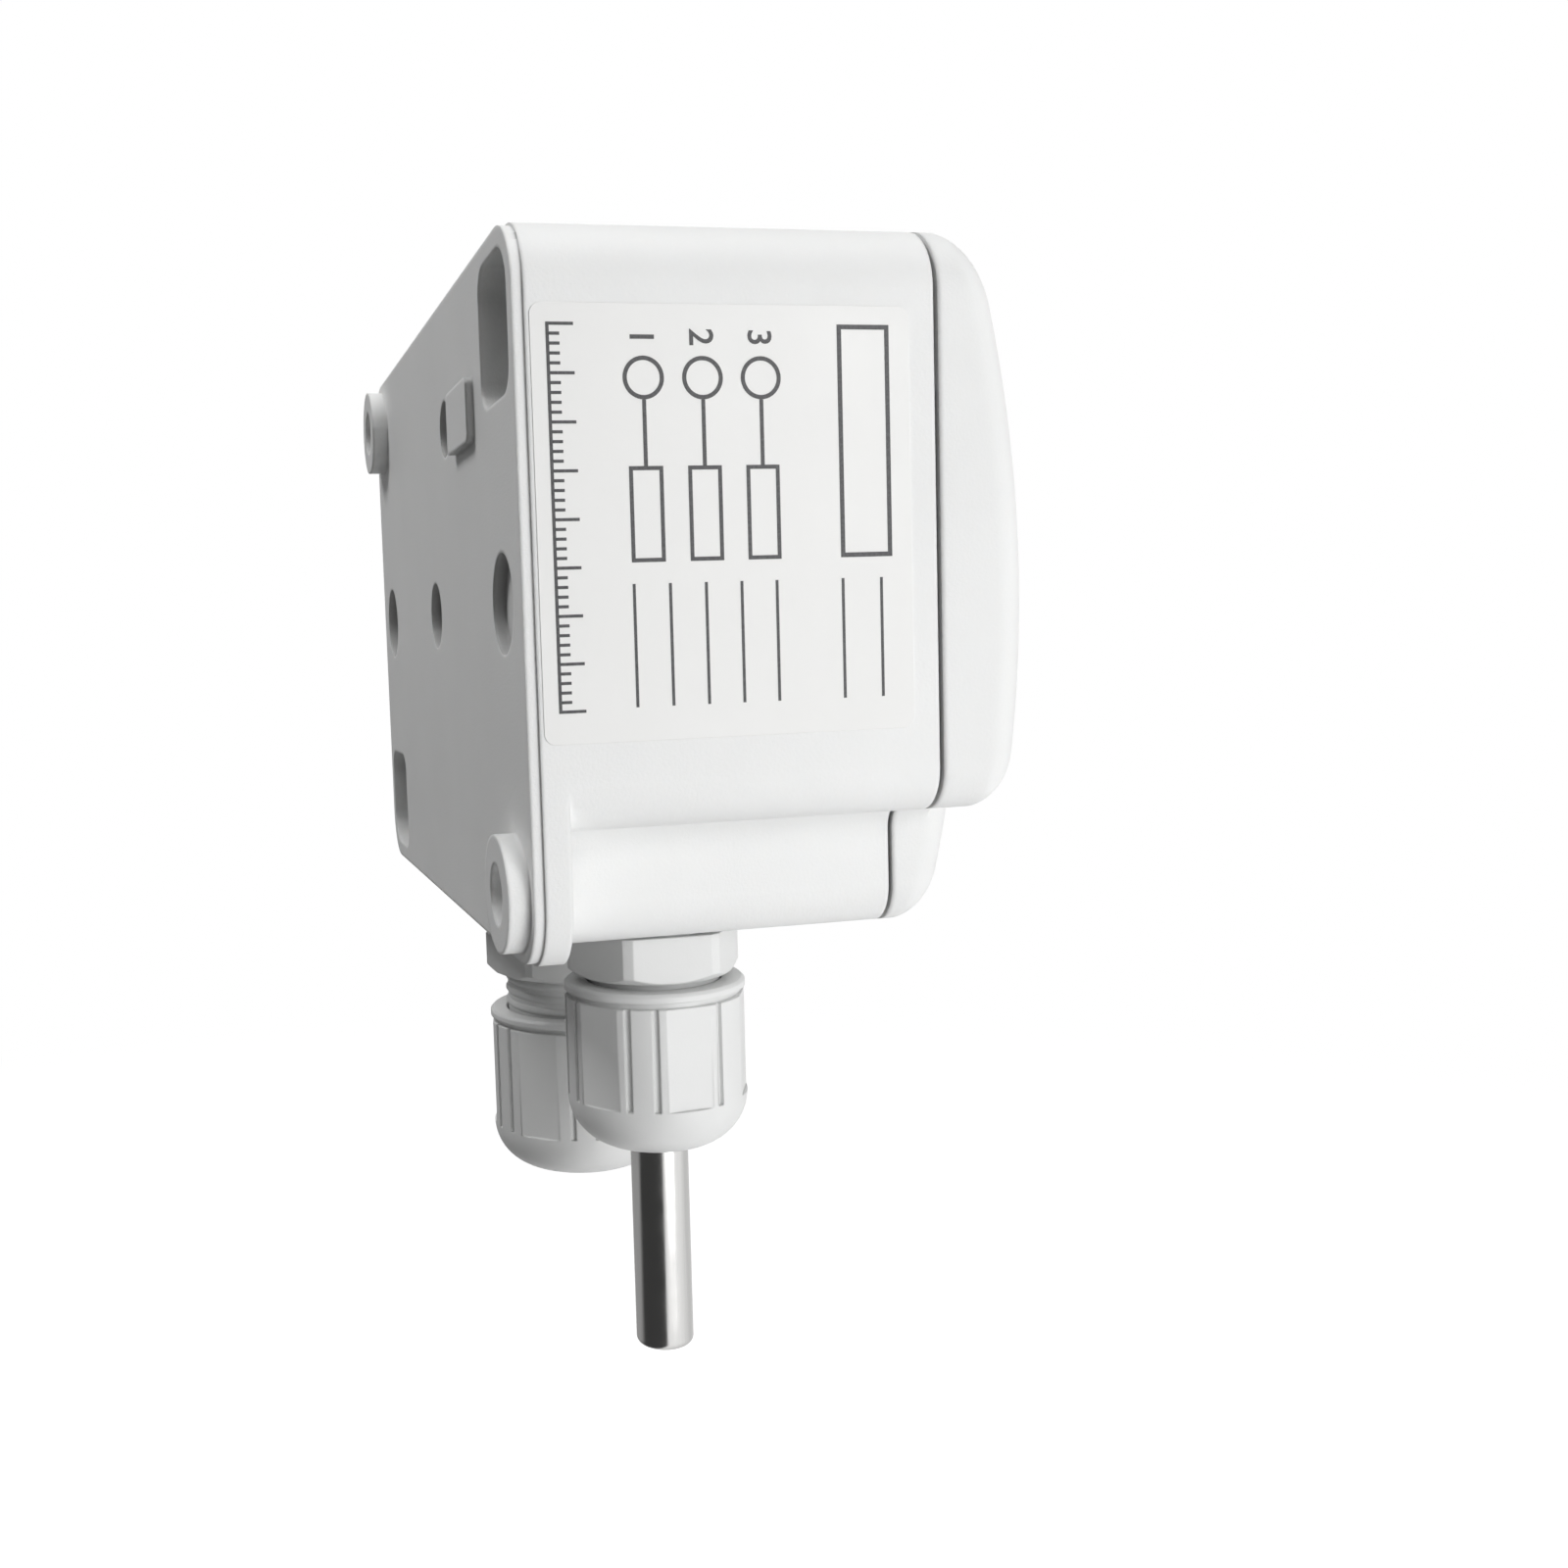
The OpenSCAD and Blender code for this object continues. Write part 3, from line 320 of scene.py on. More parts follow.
finishes = {
    "housing": plastic("housingPlastic", {
        "tint": (0.85, 0.855, 0.85), "rough": 0.48, "edge": 0.5 * mm, "through": 0.08,
        "bump": 0.8, "depth": 0.03 * mm,
        "paintedShadeReach": 9 * mm, "paintedShadeTone": 0.2,  # reach and tone of the painted shade in recesses
        "outerSpan": (0.12, 0.48), "innerSpan": (0.1, 0.9),  # openness over which the painted shade clears
        "insideX": 44.4 * mm, "insideZ": 30.4 * mm, "notchXZ": 6.5e-4,
    }),
    "cover": plastic("coverPlastic", {
        "tint": (0.825, 0.83, 0.825), "rough": 0.46, "edge": 0.9 * mm, "through": 0.08,
        "bump": 0.7, "depth": 0.025 * mm,
    }),
    "gland": plastic("glandPlastic", {
        "tint": (0.785, 0.79, 0.785), "rough": 0.4, "edge": 0.28 * mm, "grain": 0.2 * mm, "drift": 0.05,
    }),
    "claw": plastic("clawPlastic", {"tint": (0.62, 0.64, 0.65), "rough": 0.42, "edge": 0.12 * mm}),
    "rubber": rubber("sealRubber", {"tint": (0.022, 0.022, 0.024)}),
    "washer": rubber("greyRubber", {"tint": (0.30, 0.31, 0.31)}),
    "probe": metal("probeSteel", {
        "tint": (0.74, 0.735, 0.725), "line": 0.12 * mm, "stretch": (1, 1, 0.01),
        "rough": 0.17, "drift": 0.07, "bump": 0.12,
    }),
    "potting": plastic("pottingResin", {
        "tint": (0.60, 0.56, 0.42), "rough": 0.35, "drift": 0.12, "blotch": 3 * mm,
    }),
    "element": plastic("elementGlaze", {
        "tint": (0.84, 0.84, 0.77), "rough": 0.2, "drift": 0.05, "edge": 0.1 * mm,
    }),
    "lead_red": plastic("redLead", {"tint": (0.48, 0.03, 0.03), "rough": 0.38, "drift": 0.1}),
    "lead_white": plastic("whiteLead", {"tint": (0.78, 0.78, 0.76), "rough": 0.38}),
    "board": boardLacquer("boardLacquer", {
        "tint": (0.016, 0.13, 0.05), "track": (0.04, 0.22, 0.09),
        "pitch": 3.2 * mm, "scatter": 0.55, "lineSpan": (0.02, 0.06), "weave": 0.5 * mm,
        "rough": (0.22, 0.34), "coat": 0.4, "depth": 0.02 * mm, "bump": 0.6, "edge": 0.15 * mm,
    }),
    "terminal": plastic("terminalPlastic", {
        "tint": (0.03, 0.17, 0.09), "rough": 0.42, "drift": 0.08, "edge": 0.15 * mm,
    }),
    "connector": plastic("connectorPlastic", {"tint": (0.72, 0.71, 0.66), "rough": 0.4, "edge": 0.12 * mm}),
    "steel": metal("platedSteel", {"tint": (0.56, 0.56, 0.57), "line": 0.4 * mm, "rough": 0.26}),
    "contact": metal("tinnedBrass", {"tint": (0.62, 0.50, 0.28), "line": 0.3 * mm, "rough": 0.3}),
    "switch_red": plastic("switchRed", {
        "tint": (0.46, 0.02, 0.02), "rough": 0.35, "drift": 0.06, "edge": 0.1 * mm,
    }),
    "switch_white": plastic("switchWhite", {"tint": (0.84, 0.84, 0.84), "rough": 0.35, "edge": 0.08 * mm}),
    "trimmer": plastic("trimmerBlue", {
        "tint": (0.03, 0.10, 0.36), "rough": 0.36, "drift": 0.06, "edge": 0.1 * mm,
    }),
    "chip": plastic("chipResin", {
        "tint": (0.018, 0.018, 0.02), "rough": 0.55, "drift": 0.2, "grain": 0.12 * mm, "edge": 0.08 * mm,
    }),
    "can": metal("drawnCan", {
        "tint": (0.68, 0.69, 0.72), "line": 0.2 * mm, "stretch": (1, 0.05, 1), "rough": 0.25,
    }),
    "coil": plastic("coilFerrite", {
        "tint": (0.06, 0.06, 0.068), "rough": 0.6, "drift": 0.25, "grain": 0.2 * mm, "depth": 0.04 * mm,
    }),
    "lamp": lens("lampLens", {
        "tint": (0.08, 0.62, 0.10), "blotch": 1.2 * mm, "drift": 0.25,
        "rough": (0.12, 0.2), "clear": 0.35, "coat": 0.5,
    }),
}


# node names that end in _1, _2 and so on
def numbered(stem, count=3):
    return ["%s_%d" % (stem, k + 1) for k in range(count)]


finishOf = {
    "housing": ["housing_base"],
    "cover": ["front_cover"] + numbered("cover_screw", 2),
    "gland": ["probe_gland_body", "probe_gland_nut", "cable_gland_body", "cable_gland_nut"],
    "claw": ["probe_gland_claw", "cable_gland_claw"],
    "rubber": ["cover_seal", "probe_gland_insert", "cable_gland_insert"] + numbered("screw_ring", 2),
    "washer": ["probe_gland_washer", "cable_gland_washer"],
    "probe": ["probe_tube"],
    "potting": ["probe_potting", "probe_plug"],
    "element": ["sensor_element"],
    "lead_red": ["probe_lead_1"],
    "lead_white": ["probe_lead_2"],
    "board": ["circuit_board"],
    "terminal": ["terminal_block"],
    "connector": ["probe_connector"],
    "steel": numbered("terminal_screw") + numbered("terminal_cage"),
    "contact": numbered("terminal_contact"),
    "switch_red": ["range_switch"],
    "switch_white": numbered("range_lever") + ["trimmer_rotor"],
    "trimmer": ["trimmer_body"],
    "chip": ["main_chip", "supply_chip"],
    "can": ["capacitor"],
    "coil": ["supply_coil"],
    "lamp": ["status_lamp"],
}

for finish, names in finishOf.items():
    for name in names:
        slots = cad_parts[name].data.materials
        slots.clear()
        slots.append(finishes[finish])
print("finishes on", sum(len(names) for names in finishOf.values()), "nodes")


# a new piece from points and faces
def meshPiece(name, points, faces, material):
    mesh = bpy.data.meshes.new(name)
    mesh.from_pydata(points.reshape(-1, 3).tolist(), [], faces)
    mesh.materials.append(material)
    mesh.update()
    return addObject(name, mesh)


# a closed surface from a grid of points: each row is joined round, neighbouring rows are
# joined by four-sided faces, and the two end rows are capped
def gridPiece(name, points, material, caps=True, smooth=True):
    rows, cols = points.shape[:2]
    index = np.arange(rows * cols).reshape(rows, cols)
    a, b = index[:-1], index[1:]
    faces = np.stack([a, np.roll(a, -1, 1), np.roll(b, -1, 1), b], -1).reshape(-1, 4).tolist()
    if caps:
        faces += [index[0, ::-1].tolist(), index[-1].tolist()]
    piece = meshPiece(name, points, faces, material)
    if smooth:
        piece.data.shade_smooth()
    return piece


# merges points that coincide and turns all faces outwards
def faceOutwards(piece, apart=1e-7):
    work = bmesh.new()
    work.from_mesh(piece.data)
    bmesh.ops.remove_doubles(work, verts=work.verts, dist=apart)
    bmesh.ops.recalc_face_normals(work, faces=work.faces)
    work.to_mesh(piece.data)
    work.free()


def pointsOf(mesh):
    points = np.zeros(len(mesh.vertices) * 3)
    mesh.vertices.foreach_get("co", points)
    return points.reshape(-1, 3)


def smoothOf(mesh):
    smooth = np.zeros(len(mesh.polygons), bool)
    mesh.polygons.foreach_get("use_smooth", smooth)
    return smooth


# one piece from several: their points in one list, each face counting on from its own mesh's first point
def joinPieces(name, pieces):
    meshes = [p.data for p in pieces]
    points = np.concatenate([pointsOf(m) for m in meshes])
    starts = np.cumsum([0] + [len(m.vertices) for m in meshes[:-1]])
    faces = [[v + start for v in f.vertices] for m, start in zip(meshes, starts) for f in m.polygons]
    joined = meshPiece(name, points, faces, meshes[0].materials[0])
    joined.data.polygons.foreach_set("use_smooth", np.concatenate([smoothOf(m) for m in meshes]))
    joined.data.update()
    for p, m in zip(pieces, meshes):
        bpy.data.objects.remove(p)
        bpy.data.meshes.remove(m)
    return joined


# closed outline: a circle quarter in each corner, with points along the straight runs between them
def cornersOutline(left, right, low, high, radii, arcSteps, runSteps):
    turn = np.linspace(0, math.pi / 2, arcSteps)
    signs = np.array([(1, 1), (-1, 1), (-1, -1), (1, -1)])
    corners = np.array([(right, high), (left, high), (left, low), (right, low)])
    centres = corners - signs * np.array(radii)[:, None]
    angle = turn[None, :] + np.arange(4)[:, None] * math.pi / 2
    arcs = centres[:, None] + np.array(radii)[:, None, None] * np.stack([np.cos(angle), np.sin(angle)], -1)
    along = np.linspace(0, 1, runSteps + 2)[1:-1, None]
    runs = arcs[:, -1:] * (1 - along) + np.roll(arcs, -1, 0)[:, :1] * along
    return np.concatenate([arcs, runs], 1).reshape(-1, 2)


coverForm = {  # mm, as in the part's source down to the dome's radius
    "width": 92, "height": 64, "notchWide": 11, "notchHigh": 12,
    "corner": 6.0, "notchCorner": 4.0, "fillet": 2.5, "filletFront": -43.6,
    "front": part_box("front_cover")[0].y / mm, "domeRadius": 117,
    "ball": 4.1, "narrow": 0.5,  # ball that rounds the front edges, and how far it tightens the corners
    "margin": 0.06, "proud": 0.35,  # room outside the node's sides and over its dome
    "base": -32.0,  # where the rolled form begins, behind the cover's own rear edge
    "keepPast": 0.4, "keepInto": 0.5, "keepCorner": 0.1, "keepSteps": (3, 1),  # block on the inner fillet
    "arcSteps": 14, "runSteps": 26, "rollSteps": 17,
    "shares": (0.97, 0.9, 0.8, 0.68, 0.55, 0.42, 0.3, 0.18, 0.07),  # rings that close the dome
}


# half of the cover's outer form: the outline rolls in over a quarter circle, 1 - cos a inwards and
# 1 - sin a behind the dome, which falls back from the middle as the square root of R * R - z * z does
def makeDome(s, turned):
    wide, high = s["width"] / 2, s["height"] / 2
    left, right = -wide, wide - s["notchWide"]
    low, top = -high + s["notchHigh"], high
    radii = np.array([s["notchCorner"], s["corner"], s["notchCorner"], s["notchCorner"]])
    roll = np.linspace(0, math.pi / 2, s["rollSteps"])
    insets = s["ball"] * (1 - np.cos(roll)) - s["margin"]
    drops = s["ball"] * (1 - np.sin(roll)) - s["margin"]
    steps = s["arcSteps"], s["runSteps"]
    rings = [cornersOutline(left + i, right - i, low + i, top - i, radii - s["narrow"] * i, *steps)
             for i in insets]
    middle = np.array([(left + right) / 2, (low + top) / 2])
    rings += [middle + (rings[-1] - middle) * share for share in s["shares"]]
    drops = np.concatenate([drops, np.full(len(s["shares"]), -s["proud"])])
    plan = np.stack(rings)
    bend = np.sqrt(s["domeRadius"] ** 2 - plan[..., 1] ** 2) - s["domeRadius"]
    depth = s["front"] - bend + drops[:, None]
    base = np.full((1, plan.shape[1]), s["base"])
    plan, depth = np.concatenate([plan[:1], plan]), np.concatenate([base, depth])
    points = np.stack([plan[..., 0], depth, plan[..., 1]], -1)
    if turned:
        points = points * np.array([-1, 1, -1])
    piece = gridPiece("domeTool", points * mm, finishes["cover"])
    faceOutwards(piece)
    return piece


# what keeps the node's fillet in the notch's inner corner: a small square carried up to the fillet's front
def makeKeep(s, turned):
    x, z = s["notchWide"] - s["width"] / 2, s["notchHigh"] - s["height"] / 2
    past, into = s["fillet"] + s["keepPast"], s["keepInto"]
    ring = cornersOutline(x - past, x + into, z - past, z + into, [s["keepCorner"]] * 4, *s["keepSteps"])
    rows = [np.stack([ring[:, 0], np.full(len(ring), y), ring[:, 1]], -1)
            for y in (s["base"], s["filletFront"])]
    points = np.stack(rows) * np.array([-1, 1, -1] if turned else [1, 1, 1])
    piece = gridPiece("keepTool", points * mm, finishes["cover"], smooth=False)
    faceOutwards(piece)
    return piece


# boolean of a piece with each of the others, applied to its mesh; the others are removed
def combine(piece, operation, *others):
    for other in others:
        change = piece.modifiers.new(operation, "BOOLEAN")
        change.operation = operation
        change.solver = "EXACT"
        change.object = other
    bpy.context.view_layer.update()
    shown = piece.evaluated_get(bpy.context.evaluated_depsgraph_get())
    mesh = bpy.data.meshes.new_from_object(shown)
    piece.modifiers.clear()
    piece.data = mesh
    for other in others:
        bpy.data.objects.remove(other)


# the cover with its corners rounded as by a rolling ball: the node's form, where it lies within the
# two rolled halves and the two kept fillets
def makeCover(s):
    piece = addObject("roundedCover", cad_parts["front_cover"].data.copy())
    faceOutwards(piece)
    tool = makeDome(s, False)
    combine(tool, "UNION", makeDome(s, True), makeKeep(s, False), makeKeep(s, True))
    combine(piece, "INTERSECT", tool)
    piece.data.materials.clear()
    piece.data.materials.append(finishes["cover"])
    faceOutwards(piece)
    piece.data.shade_flat()
    return piece


cover = makeCover(coverForm)
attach(cover, "cover")
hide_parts("front_cover")
print("cover rounded:", len(cover.data.polygons), "faces")


label = {
    "top": 24.3, "bottom": -12.2,  # mm along Z
    "rear": -3.4, "front": -37.1,  # mm along Y
    "wall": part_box("housing_base")[0].x / mm,  # mm along X
    "corner": 1.0, "cornerSteps": 8, "thick": 0.09,
    "bevel": 0.05, "bevelHigh": 0.03,
    "print": 0.025, "sink": 0.01,  # the print's height over the sheet, and its depth in it
    "foil": {
        "tint": (0.84, 0.84, 0.83), "low": (0.825, 0.825, 0.813), "blotch": 9 * mm,
        "rough": (0.34, 0.42), "ripple": 0.7 * mm, "depth": 0.01 * mm, "bump": 0.35,
    },
    "ink": {
        "tint": (0.03, 0.03, 0.033), "thin": (0.10, 0.10, 0.105), "wear": 0.25 * mm, "rough": (0.38, 0.5),
    },
}

signs = {  # the print, in mm: u runs along the reading direction (down the wall), v towards the cover
    "rows": [9.6, 14.8, 20.0],  # v of each terminal sign
    "digitAt": 2.0, "digitDown": 1.05, "digitSize": 3.0, "digitBold": 0.03, "digitSteps": 4,
    "ringAt": 6.1, "ringRadius": 1.8, "ringLine": 0.36, "ringSteps": 40,
    "lead": (7.9, 13.4), "leadHalf": 0.17,
    "field": (13.4, 21.4), "fieldHalf": 1.5, "fieldLine": 0.34,
    "title": (1.6, 27.0, 21.4, 31.8), "titleLine": 0.4,
    "ruled": (23.2, 33.6), "ruleLine": 0.26,
    "rules": [8.1, 11.3, 14.5, 17.7, 20.9, 27.0, 30.6],  # v of each ruled line
    "scaleAt": 1.6, "scaleLine": (1.34, 1.62),
    "ticks": 41, "tickPitch": 0.8, "tickLine": 0.26, "tickShort": 0.9, "tickLong": 2.1, "longEvery": 5,
}


# point of the label's own frame, given by u, v and the height over the wall
def onLabel(s, u, v, out):
    u, v, out = np.broadcast_arrays(u, v, out)
    return np.stack([s["wall"] - out, s["rear"] - v, s["top"] - u], -1) * mm


# the sheet: a rounded rectangle carried outwards, and drawn in a little over a small bevel
def makeLabel(s):
    wide, high = s["top"] - s["bottom"], s["rear"] - s["front"]
    outline = cornersOutline(0, wide, 0, high, [s["corner"]] * 4, s["cornerSteps"], 0)
    middle = np.array([wide / 2, high / 2])
    inner = middle + (outline - middle) * (1 - s["bevel"] / high)
    levels = [(outline, 0.0), (outline, s["thick"] - s["bevelHigh"]), (inner, s["thick"])]
    rows = np.stack([onLabel(s, ring[:, 0], ring[:, 1], h) for ring, h in levels])
    piece = gridPiece("sideLabel", rows, foil("labelFoil", s["foil"]), smooth=False)
    faceOutwards(piece)
    return piece


# strips of print, as boxes of eight corners: each row of the table is u0, v0, u1, v1
def makeStrips(s, table, material):
    box = np.asarray(table, float)
    u = box[:, [0, 2, 2, 0]]
    v = box[:, [1, 1, 3, 3]]
    levels = s["thick"] - s["sink"], s["thick"] + s["print"]
    points = np.concatenate([onLabel(s, u, v, h) for h in levels], 1)
    sides = np.array([[0, 1, 2, 3], [7, 6, 5, 4], [0, 4, 5, 1], [1, 5, 6, 2], [2, 6, 7, 3], [3, 7, 4, 0]])
    faces = (sides[None] + 8 * np.arange(len(box))[:, None, None]).reshape(-1, 4)
    return meshPiece("labelStrips", points, faces.tolist(), material)


# four strips round a rectangle
def frameOf(u0, v0, u1, v1, line):
    return [
        (u0, v0, u1, v0 + line), (u0, v1 - line, u1, v1),
        (u0, v0 + line, u0 + line, v1 - line), (u1 - line, v0 + line, u1, v1 - line),
    ]


# flat ring: four profile corners carried round a circle
def makeRing(s, p, v, material):
    t = np.linspace(0, 2 * math.pi, p["ringSteps"], endpoint=False)
    outer, inner = p["ringRadius"], p["ringRadius"] - p["ringLine"]
    low, high = s["thick"] - s["sink"], s["thick"] + s["print"]
    profile = [(outer, low), (outer, high), (inner, high), (inner, low), (outer, low)]
    rows = [onLabel(s, p["ringAt"] + r * np.cos(t), v + r * np.sin(t), h) for r, h in profile]
    return gridPiece("ring", np.stack(rows), material, caps=False, smooth=False)


# digit: a text curve made a mesh, and its points then laid on the label
def makeDigit(s, p, text, v, material):
    curve = bpy.data.curves.new("digit", "FONT")
    curve.body = text
    curve.size = p["digitSize"]
    curve.extrude = s["print"] / 2
    curve.resolution_u = p["digitSteps"]
    curve.offset = p["digitBold"]
    source = addObject("digit", curve)
    bpy.context.view_layer.update()
    mesh = bpy.data.meshes.new_from_object(source)
    bpy.data.objects.remove(source)
    flat = pointsOf(mesh)
    out = s["thick"] + s["print"] / 2 + flat[:, 2]
    placed = onLabel(s, p["digitAt"] + flat[:, 0], v - p["digitDown"] + flat[:, 1], out)
    mesh.vertices.foreach_set("co", placed.ravel())
    mesh.materials.clear()
    mesh.materials.append(material)
    mesh.update()
    return addObject("digit", mesh)


# plain generic print: numbered terminal signs with their leads, blank fields, ruled lines and a scale
def makePrint(s, p):
    black = ink("labelInk", s["ink"])
    table = []
    for v in p["rows"]:
        table += [(p["lead"][0], v - p["leadHalf"], p["lead"][1], v + p["leadHalf"])]
        table += frameOf(p["field"][0], v - p["fieldHalf"], p["field"][1], v + p["fieldHalf"], p["fieldLine"])
    table += frameOf(*p["title"], p["titleLine"])
    table += [(p["ruled"][0], v, p["ruled"][1], v + p["ruleLine"]) for v in p["rules"]]
    for k in range(p["ticks"]):
        u = p["scaleAt"] + p["tickPitch"] * k
        tall = p["tickShort"] if k % p["longEvery"] else p["tickLong"]
        table += [(u, p["scaleAt"], u + p["tickLine"], p["scaleAt"] + tall)]
    table += [(p["scaleAt"], p["scaleLine"][0], u + p["tickLine"], p["scaleLine"][1])]
    pieces = [makeStrips(s, table, black)]
    for k, v in enumerate(p["rows"]):
        pieces.append(makeRing(s, p, v, black))
        pieces.append(makeDigit(s, p, str(k + 1), v, black))
    piece = joinPieces("labelPrint", pieces)
    faceOutwards(piece)
    return piece


labelSheet = makeLabel(label)
labelPrint = makePrint(label, signs)
for piece in (labelSheet, labelPrint):
    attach(piece, "housing")
print("label laid on the side wall")


threads = {  # mm: hex is how far the hexagon's end lies below its washer
    "probe": {
        "washer": "probe_gland_washer", "nut": "probe_gland_nut", "hex": 4.7,
        "pitch": 1.5, "radius": 6.75, "x": -21.0, "start": 0.25, "end": 0.1,
    },
    "cable": {
        "washer": "cable_gland_washer", "nut": "cable_gland_nut", "hex": 4.5,
        "pitch": 1.5, "radius": 8.75, "x": 12.0, "start": 0.35, "end": 0.2,
    },
}

tooth = {
    "across": (-0.46, -0.2, -0.07, 0.07, 0.2, 0.46),  # shares of the pitch
    "lift": (-0.12, 0.1, 0.25, 0.25, 0.1, -0.12),  # mm over the radius
    "stepsPerTurn": 56, "fewest": 24,
    "runOut": 4, "least": 0.02,  # full height after 1/4 turn, from this share of it
}


# ridge: a rounded tooth carried along a helix that falls by one pitch a turn, x and y being the axis
# plus r times cos and sin of the angle; its height and width run out to nothing at both ends
def makeThread(name, s, form, depthY, top, bottom):
    turns = (top - bottom) / s["pitch"]
    along = np.linspace(0, 1, max(form["fewest"], int(turns * form["stepsPerTurn"])))
    fade = np.clip(np.minimum(along, 1 - along) * turns * form["runOut"], form["least"], 1)[:, None]
    angle = along * turns * 2 * math.pi
    r = s["radius"] + fade * np.array(form["lift"])
    z = (top - along * (top - bottom))[:, None] + np.array(form["across"]) * s["pitch"] * fade
    x = s["x"] + r * np.cos(angle)[:, None]
    y = depthY + r * np.sin(angle)[:, None]
    piece = gridPiece(name, np.stack([x, y, z], -1) * mm, finishes["gland"])
    faceOutwards(piece)
    return piece


for key, s in threads.items():
    low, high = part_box(s["nut"])
    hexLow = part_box(s["washer"])[0].z / mm - s["hex"]
    depthY = (low.y + high.y) / 2 / mm
    ridge = makeThread(key + "Thread", s, tooth, depthY, hexLow - s["start"], high.z / mm + s["end"])
    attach(ridge, "housing")
print("thread ridges between the hexagons and the nuts")


boardScrews = {  # mm
    "places": [(-36, -10.5), (36, -10.5), (-22, 23.5), (22, 23.5)],
    "head": 2.4, "rise": 1.5, "seat": 0.05, "gap": 0.02,
    "slot": 0.42, "reach": 1.35, "deep": 0.9, "flank": 0.12, "slope": 0.2,
    "rings": [(0.001, 1.6, 17), (1.75, 2.4, 6)],  # from, to and number of the head's rings
    "steps": 72,
}


# pan head: height h(r) = rise * sqrt(1 - (r / head)^4), with a cross sunk where |x| or |z| is less
# than the slot's half width and r less than its reach
def makeScrew(s, x, z, faceY):
    r = np.concatenate([np.linspace(*ring) for ring in s["rings"]])
    t = np.linspace(0, 2 * math.pi, s["steps"], endpoint=False)
    rr, tt = np.meshgrid(r, t, indexing="ij")
    across, up = rr * np.cos(tt), rr * np.sin(tt)
    rise = s["rise"] * np.clip(1 - (rr / s["head"]) ** 4, 0, 1) ** 0.5
    cross = np.clip((s["slot"] - np.minimum(abs(across), abs(up))) / s["flank"], 0, 1)
    rise = rise - s["deep"] * cross * np.clip((s["reach"] - rr) / s["slope"], 0, 1)
    top = np.stack([across, -rise, up], -1)
    rim = np.stack([s["head"] * np.cos(t), np.full(len(t), s["seat"]), s["head"] * np.sin(t)], -1)
    points = np.concatenate([top, rim[None]]) + np.array([x, faceY, z])
    return gridPiece("boardScrew", points * mm, finishes["steel"])


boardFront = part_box("circuit_board")[0].y / mm - boardScrews["gap"]
screws = [makeScrew(boardScrews, x, z, boardFront) for x, z in boardScrews["places"]]
boardScrewSet = joinPieces("boardScrews", screws)
faceOutwards(boardScrewSet)
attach(boardScrewSet, "housing")
print("board screws set")


studio = {  # places and spans in metres, or for the sky in shares of a heading
    "floorZ": -0.17, "floorHalf": 4, "floorPoints": 9,
    "floorTint": (0.90, 0.90, 0.90), "floorDrift": 0.015, "floorBlotch": 0.12, "floorRough": 0.9,
    "floorGlow": 0.5,
    "whiteSpan": (0.15, 0.55),  # distance over which the floor turns plain white
    "wallFloor": 0.15, "wallFloorSpan": (-0.06, 0.06),  # share of its light that the wall's side gives back
    "lift": 0.42, "liftSpanY": (-0.02, 0.04), "liftSpanX": (-0.08, 0.0),  # glow on the camera's side
    "skyLight": 0.5,
    "wallLight": 0.12, "wallSpan": (-0.05, 0.35),  # light from the wall's side, as a share of the sky's
    "nearLight": 1.7, "nearSpan": (-0.7, 0.0),  # from the camera's side
    "frontLight": 0.35, "frontSpan": (-0.8, -0.3),  # and from the front of the object
    "openMirror": 0.7, "openSpan": (-0.8, 0.3),  # what gloss and metal see in front
    "wallMirror": 0.05, "farMirror": 0.35, "farSpan": (0.35, 0.8),  # towards the wall, and past the object
    "edgeSpan": (0.14, 0.18),  # where the one turns into the other
    "probe": (-0.021, -0.02), "reach": 0.15,  # place in X and Y, and how far its mirrored rays go
    "aim": (0, -0.02, -0.01),
    "lamps": {  # place in metres, watts, width in metres
        "keyLamp": ((-0.94, -0.46, 0.20), 2.36, 0.34),
        "topLamp": ((-0.10, -0.15, 0.75), 1.1, 0.5),
        "lowLamp": ((-0.34, -0.16, -0.16), 0.52, 0.2),
        "wallLamp": ((0.05, 0.40, 0.62), 2.95, 0.26),
    },
}


# which rays see a plain backdrop: 1 for the camera and for light through clear pieces
def seenDirectly(tree, path):
    return mathOf(tree, "MAXIMUM", path["Is Camera Ray"], path["Is Transmission Ray"])


# what gloss and metal see by heading: open in front, dark towards the wall, grey past the object
def mirrorLevel(tree, s, x, y):
    dark = levelOf(tree, x, s["wallMirror"], s["farMirror"], *s["farSpan"])
    light = levelOf(tree, x, 1.0, s["openMirror"], *s["openSpan"])
    return mixed(tree, levelOf(tree, y, 0.0, 1.0, *s["edgeSpan"]), light, dark)


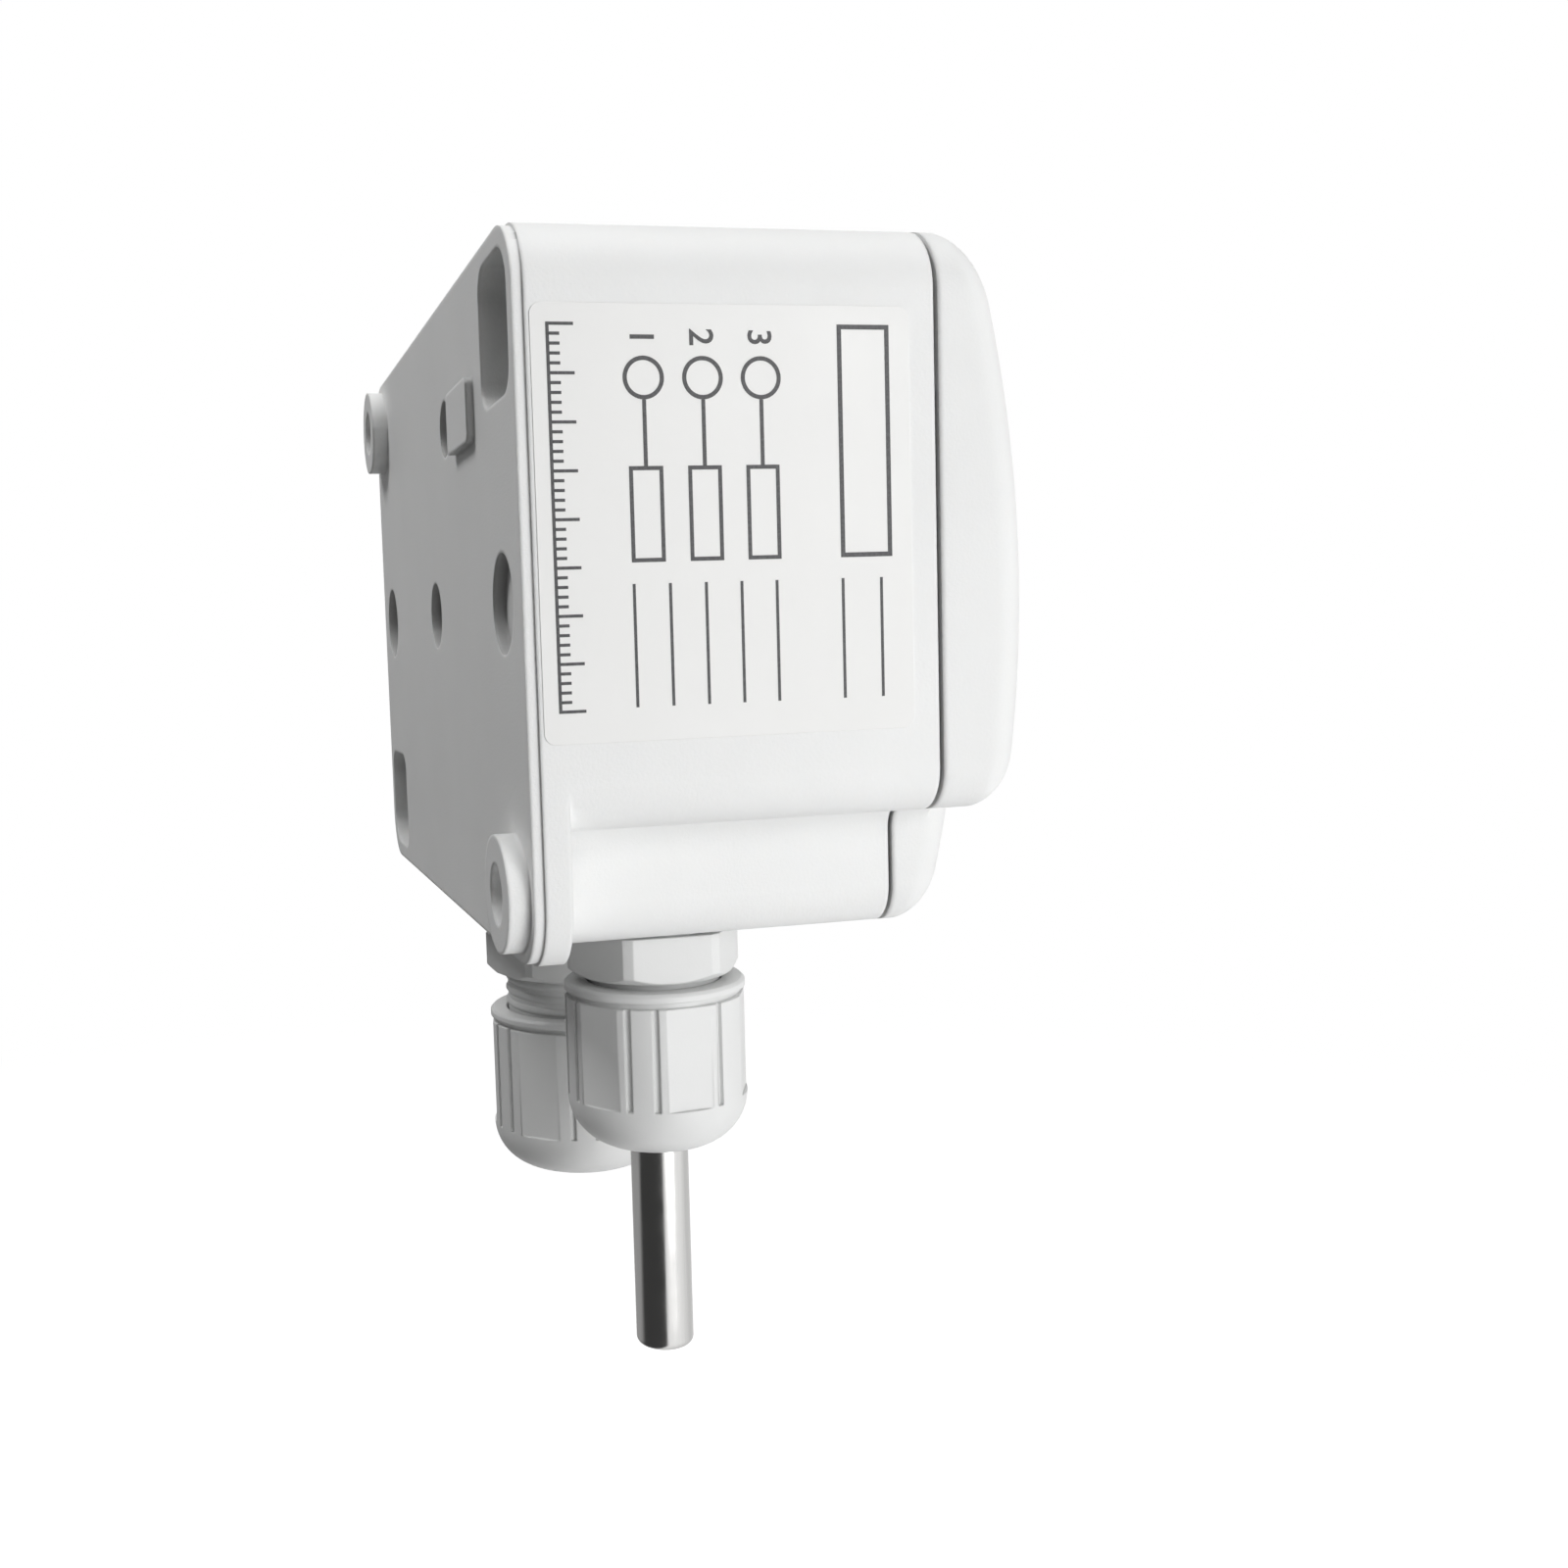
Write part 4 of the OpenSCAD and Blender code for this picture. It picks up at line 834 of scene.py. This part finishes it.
# light paper that darkens for light given back on the wall's side, and glows on the camera's side
def floorPaper(s):
    mat, tree, shader, place = startMaterial("floorPaper")
    path = addNode(tree, "ShaderNodeLightPath").outputs
    parts = partsOf(tree, place)
    x, y = parts["X"], parts["Y"]
    tone = noiseAt(tree, place, s["floorBlotch"], detail=2.0)
    low = toned(s["floorTint"], 1 - s["floorDrift"])
    tint = rampOf(tree, tone, [(0.3, low), (0.7, s["floorTint"])])
    weaker = levelOf(tree, y, 1.0, s["wallFloor"], *s["wallFloorSpan"])
    weaker = mixed(tree, path["Is Diffuse Ray"], 1.0, weaker)
    direct = seenDirectly(tree, path)
    lift = levelOf(tree, y, s["lift"], 0.0, *s["liftSpanY"])
    lift = mixed(tree, levelOf(tree, x, 0.0, 1.0, *s["liftSpanX"]), lift, 0.0)
    lift = mixed(tree, path["Is Diffuse Ray"], 0.0, lift)
    setSockets(tree, shader, {
        "Base Color": scaled(tree, tint, weaker),
        "Roughness": s["floorRough"],
        "Emission Color": (1, 1, 1, 1),
        "Emission Strength": mixed(tree, direct, lift, s["floorGlow"]),
    })
    away = addNode(tree, "ShaderNodeVectorMath", {0: place}, operation="LENGTH").outputs["Value"]
    far = mathOf(tree, "MULTIPLY", direct, levelOf(tree, away, 0.0, 1.0, *s["whiteSpan"]))
    white = addNode(tree, "ShaderNodeEmission", {"Strength": 1.0}).outputs[0]
    paper = addNode(tree, "ShaderNodeMixShader", {0: far, 1: shader.outputs[0], 2: white}).outputs[0]
    headings = [levelOf(tree, part, 0, 1, at, at + s["reach"], clamp=False)
                for part, at in zip((x, y), s["probe"])]
    mirror = addNode(tree, "ShaderNodeEmission", {"Strength": mirrorLevel(tree, s, *headings)}).outputs[0]
    sockets = {0: path["Is Glossy Ray"], 1: paper, 2: mirror}
    both = addNode(tree, "ShaderNodeMixShader", sockets).outputs[0]
    tree.links.new(both, tree.nodes["Material Output"].inputs["Surface"])
    return mat


# the floor: a flat square grid
def makeFloor(s):
    steps = np.linspace(-s["floorHalf"], s["floorHalf"], s["floorPoints"])
    u, v = np.meshgrid(steps, steps, indexing="ij")
    index = np.arange(u.size).reshape(u.shape)
    faces = np.stack([index[:-1, :-1], index[1:, :-1], index[1:, 1:], index[:-1, 1:]], -1).reshape(-1, 4)
    points = np.stack([u, v, np.full(u.shape, s["floorZ"])], -1)
    meshPiece("floor", points, faces.tolist(), floorPaper(s))


# the sky: white to the eye, soft light on the object, weaker from the wall's side and from the front
def makeSky(s):
    world = bpy.data.worlds.new("studioSky")
    bpy.context.scene.world = world
    world.use_nodes = True
    tree = world.node_tree
    path = addNode(tree, "ShaderNodeLightPath").outputs
    heading = addNode(tree, "ShaderNodeTexCoord").outputs["Object"]
    parts = partsOf(tree, heading)
    x, y = parts["X"], parts["Y"]
    light = levelOf(tree, y, s["skyLight"], s["skyLight"] * s["wallLight"], *s["wallSpan"])
    light = mathOf(tree, "MULTIPLY", light, levelOf(tree, x, s["nearLight"], 1.0, *s["nearSpan"]))
    light = mathOf(tree, "MULTIPLY", light, levelOf(tree, y, s["frontLight"], 1.0, *s["frontSpan"]))
    level = mixed(tree, path["Is Glossy Ray"], light, mirrorLevel(tree, s, x, y))
    level = mixed(tree, seenDirectly(tree, path), level, 1.0)
    setSockets(tree, tree.nodes["Background"], {"Strength": level, "Color": (1, 1, 1, 1)})


def makeLamps(s):
    for name, (place, watts, wide) in s["lamps"].items():
        data = bpy.data.lights.new(name, "AREA")
        data.energy = watts
        data.size = wide
        lamp = addObject(name, data)
        lamp.location = place
        lamp.visible_camera = False
        lamp.rotation_euler = (Vector(s["aim"]) - Vector(place)).to_track_quat("-Z", "Y").to_euler()


makeFloor(studio)
makeSky(studio)
makeLamps(studio)
bpy.context.scene.view_settings.view_transform = "Standard"
print("studio set")
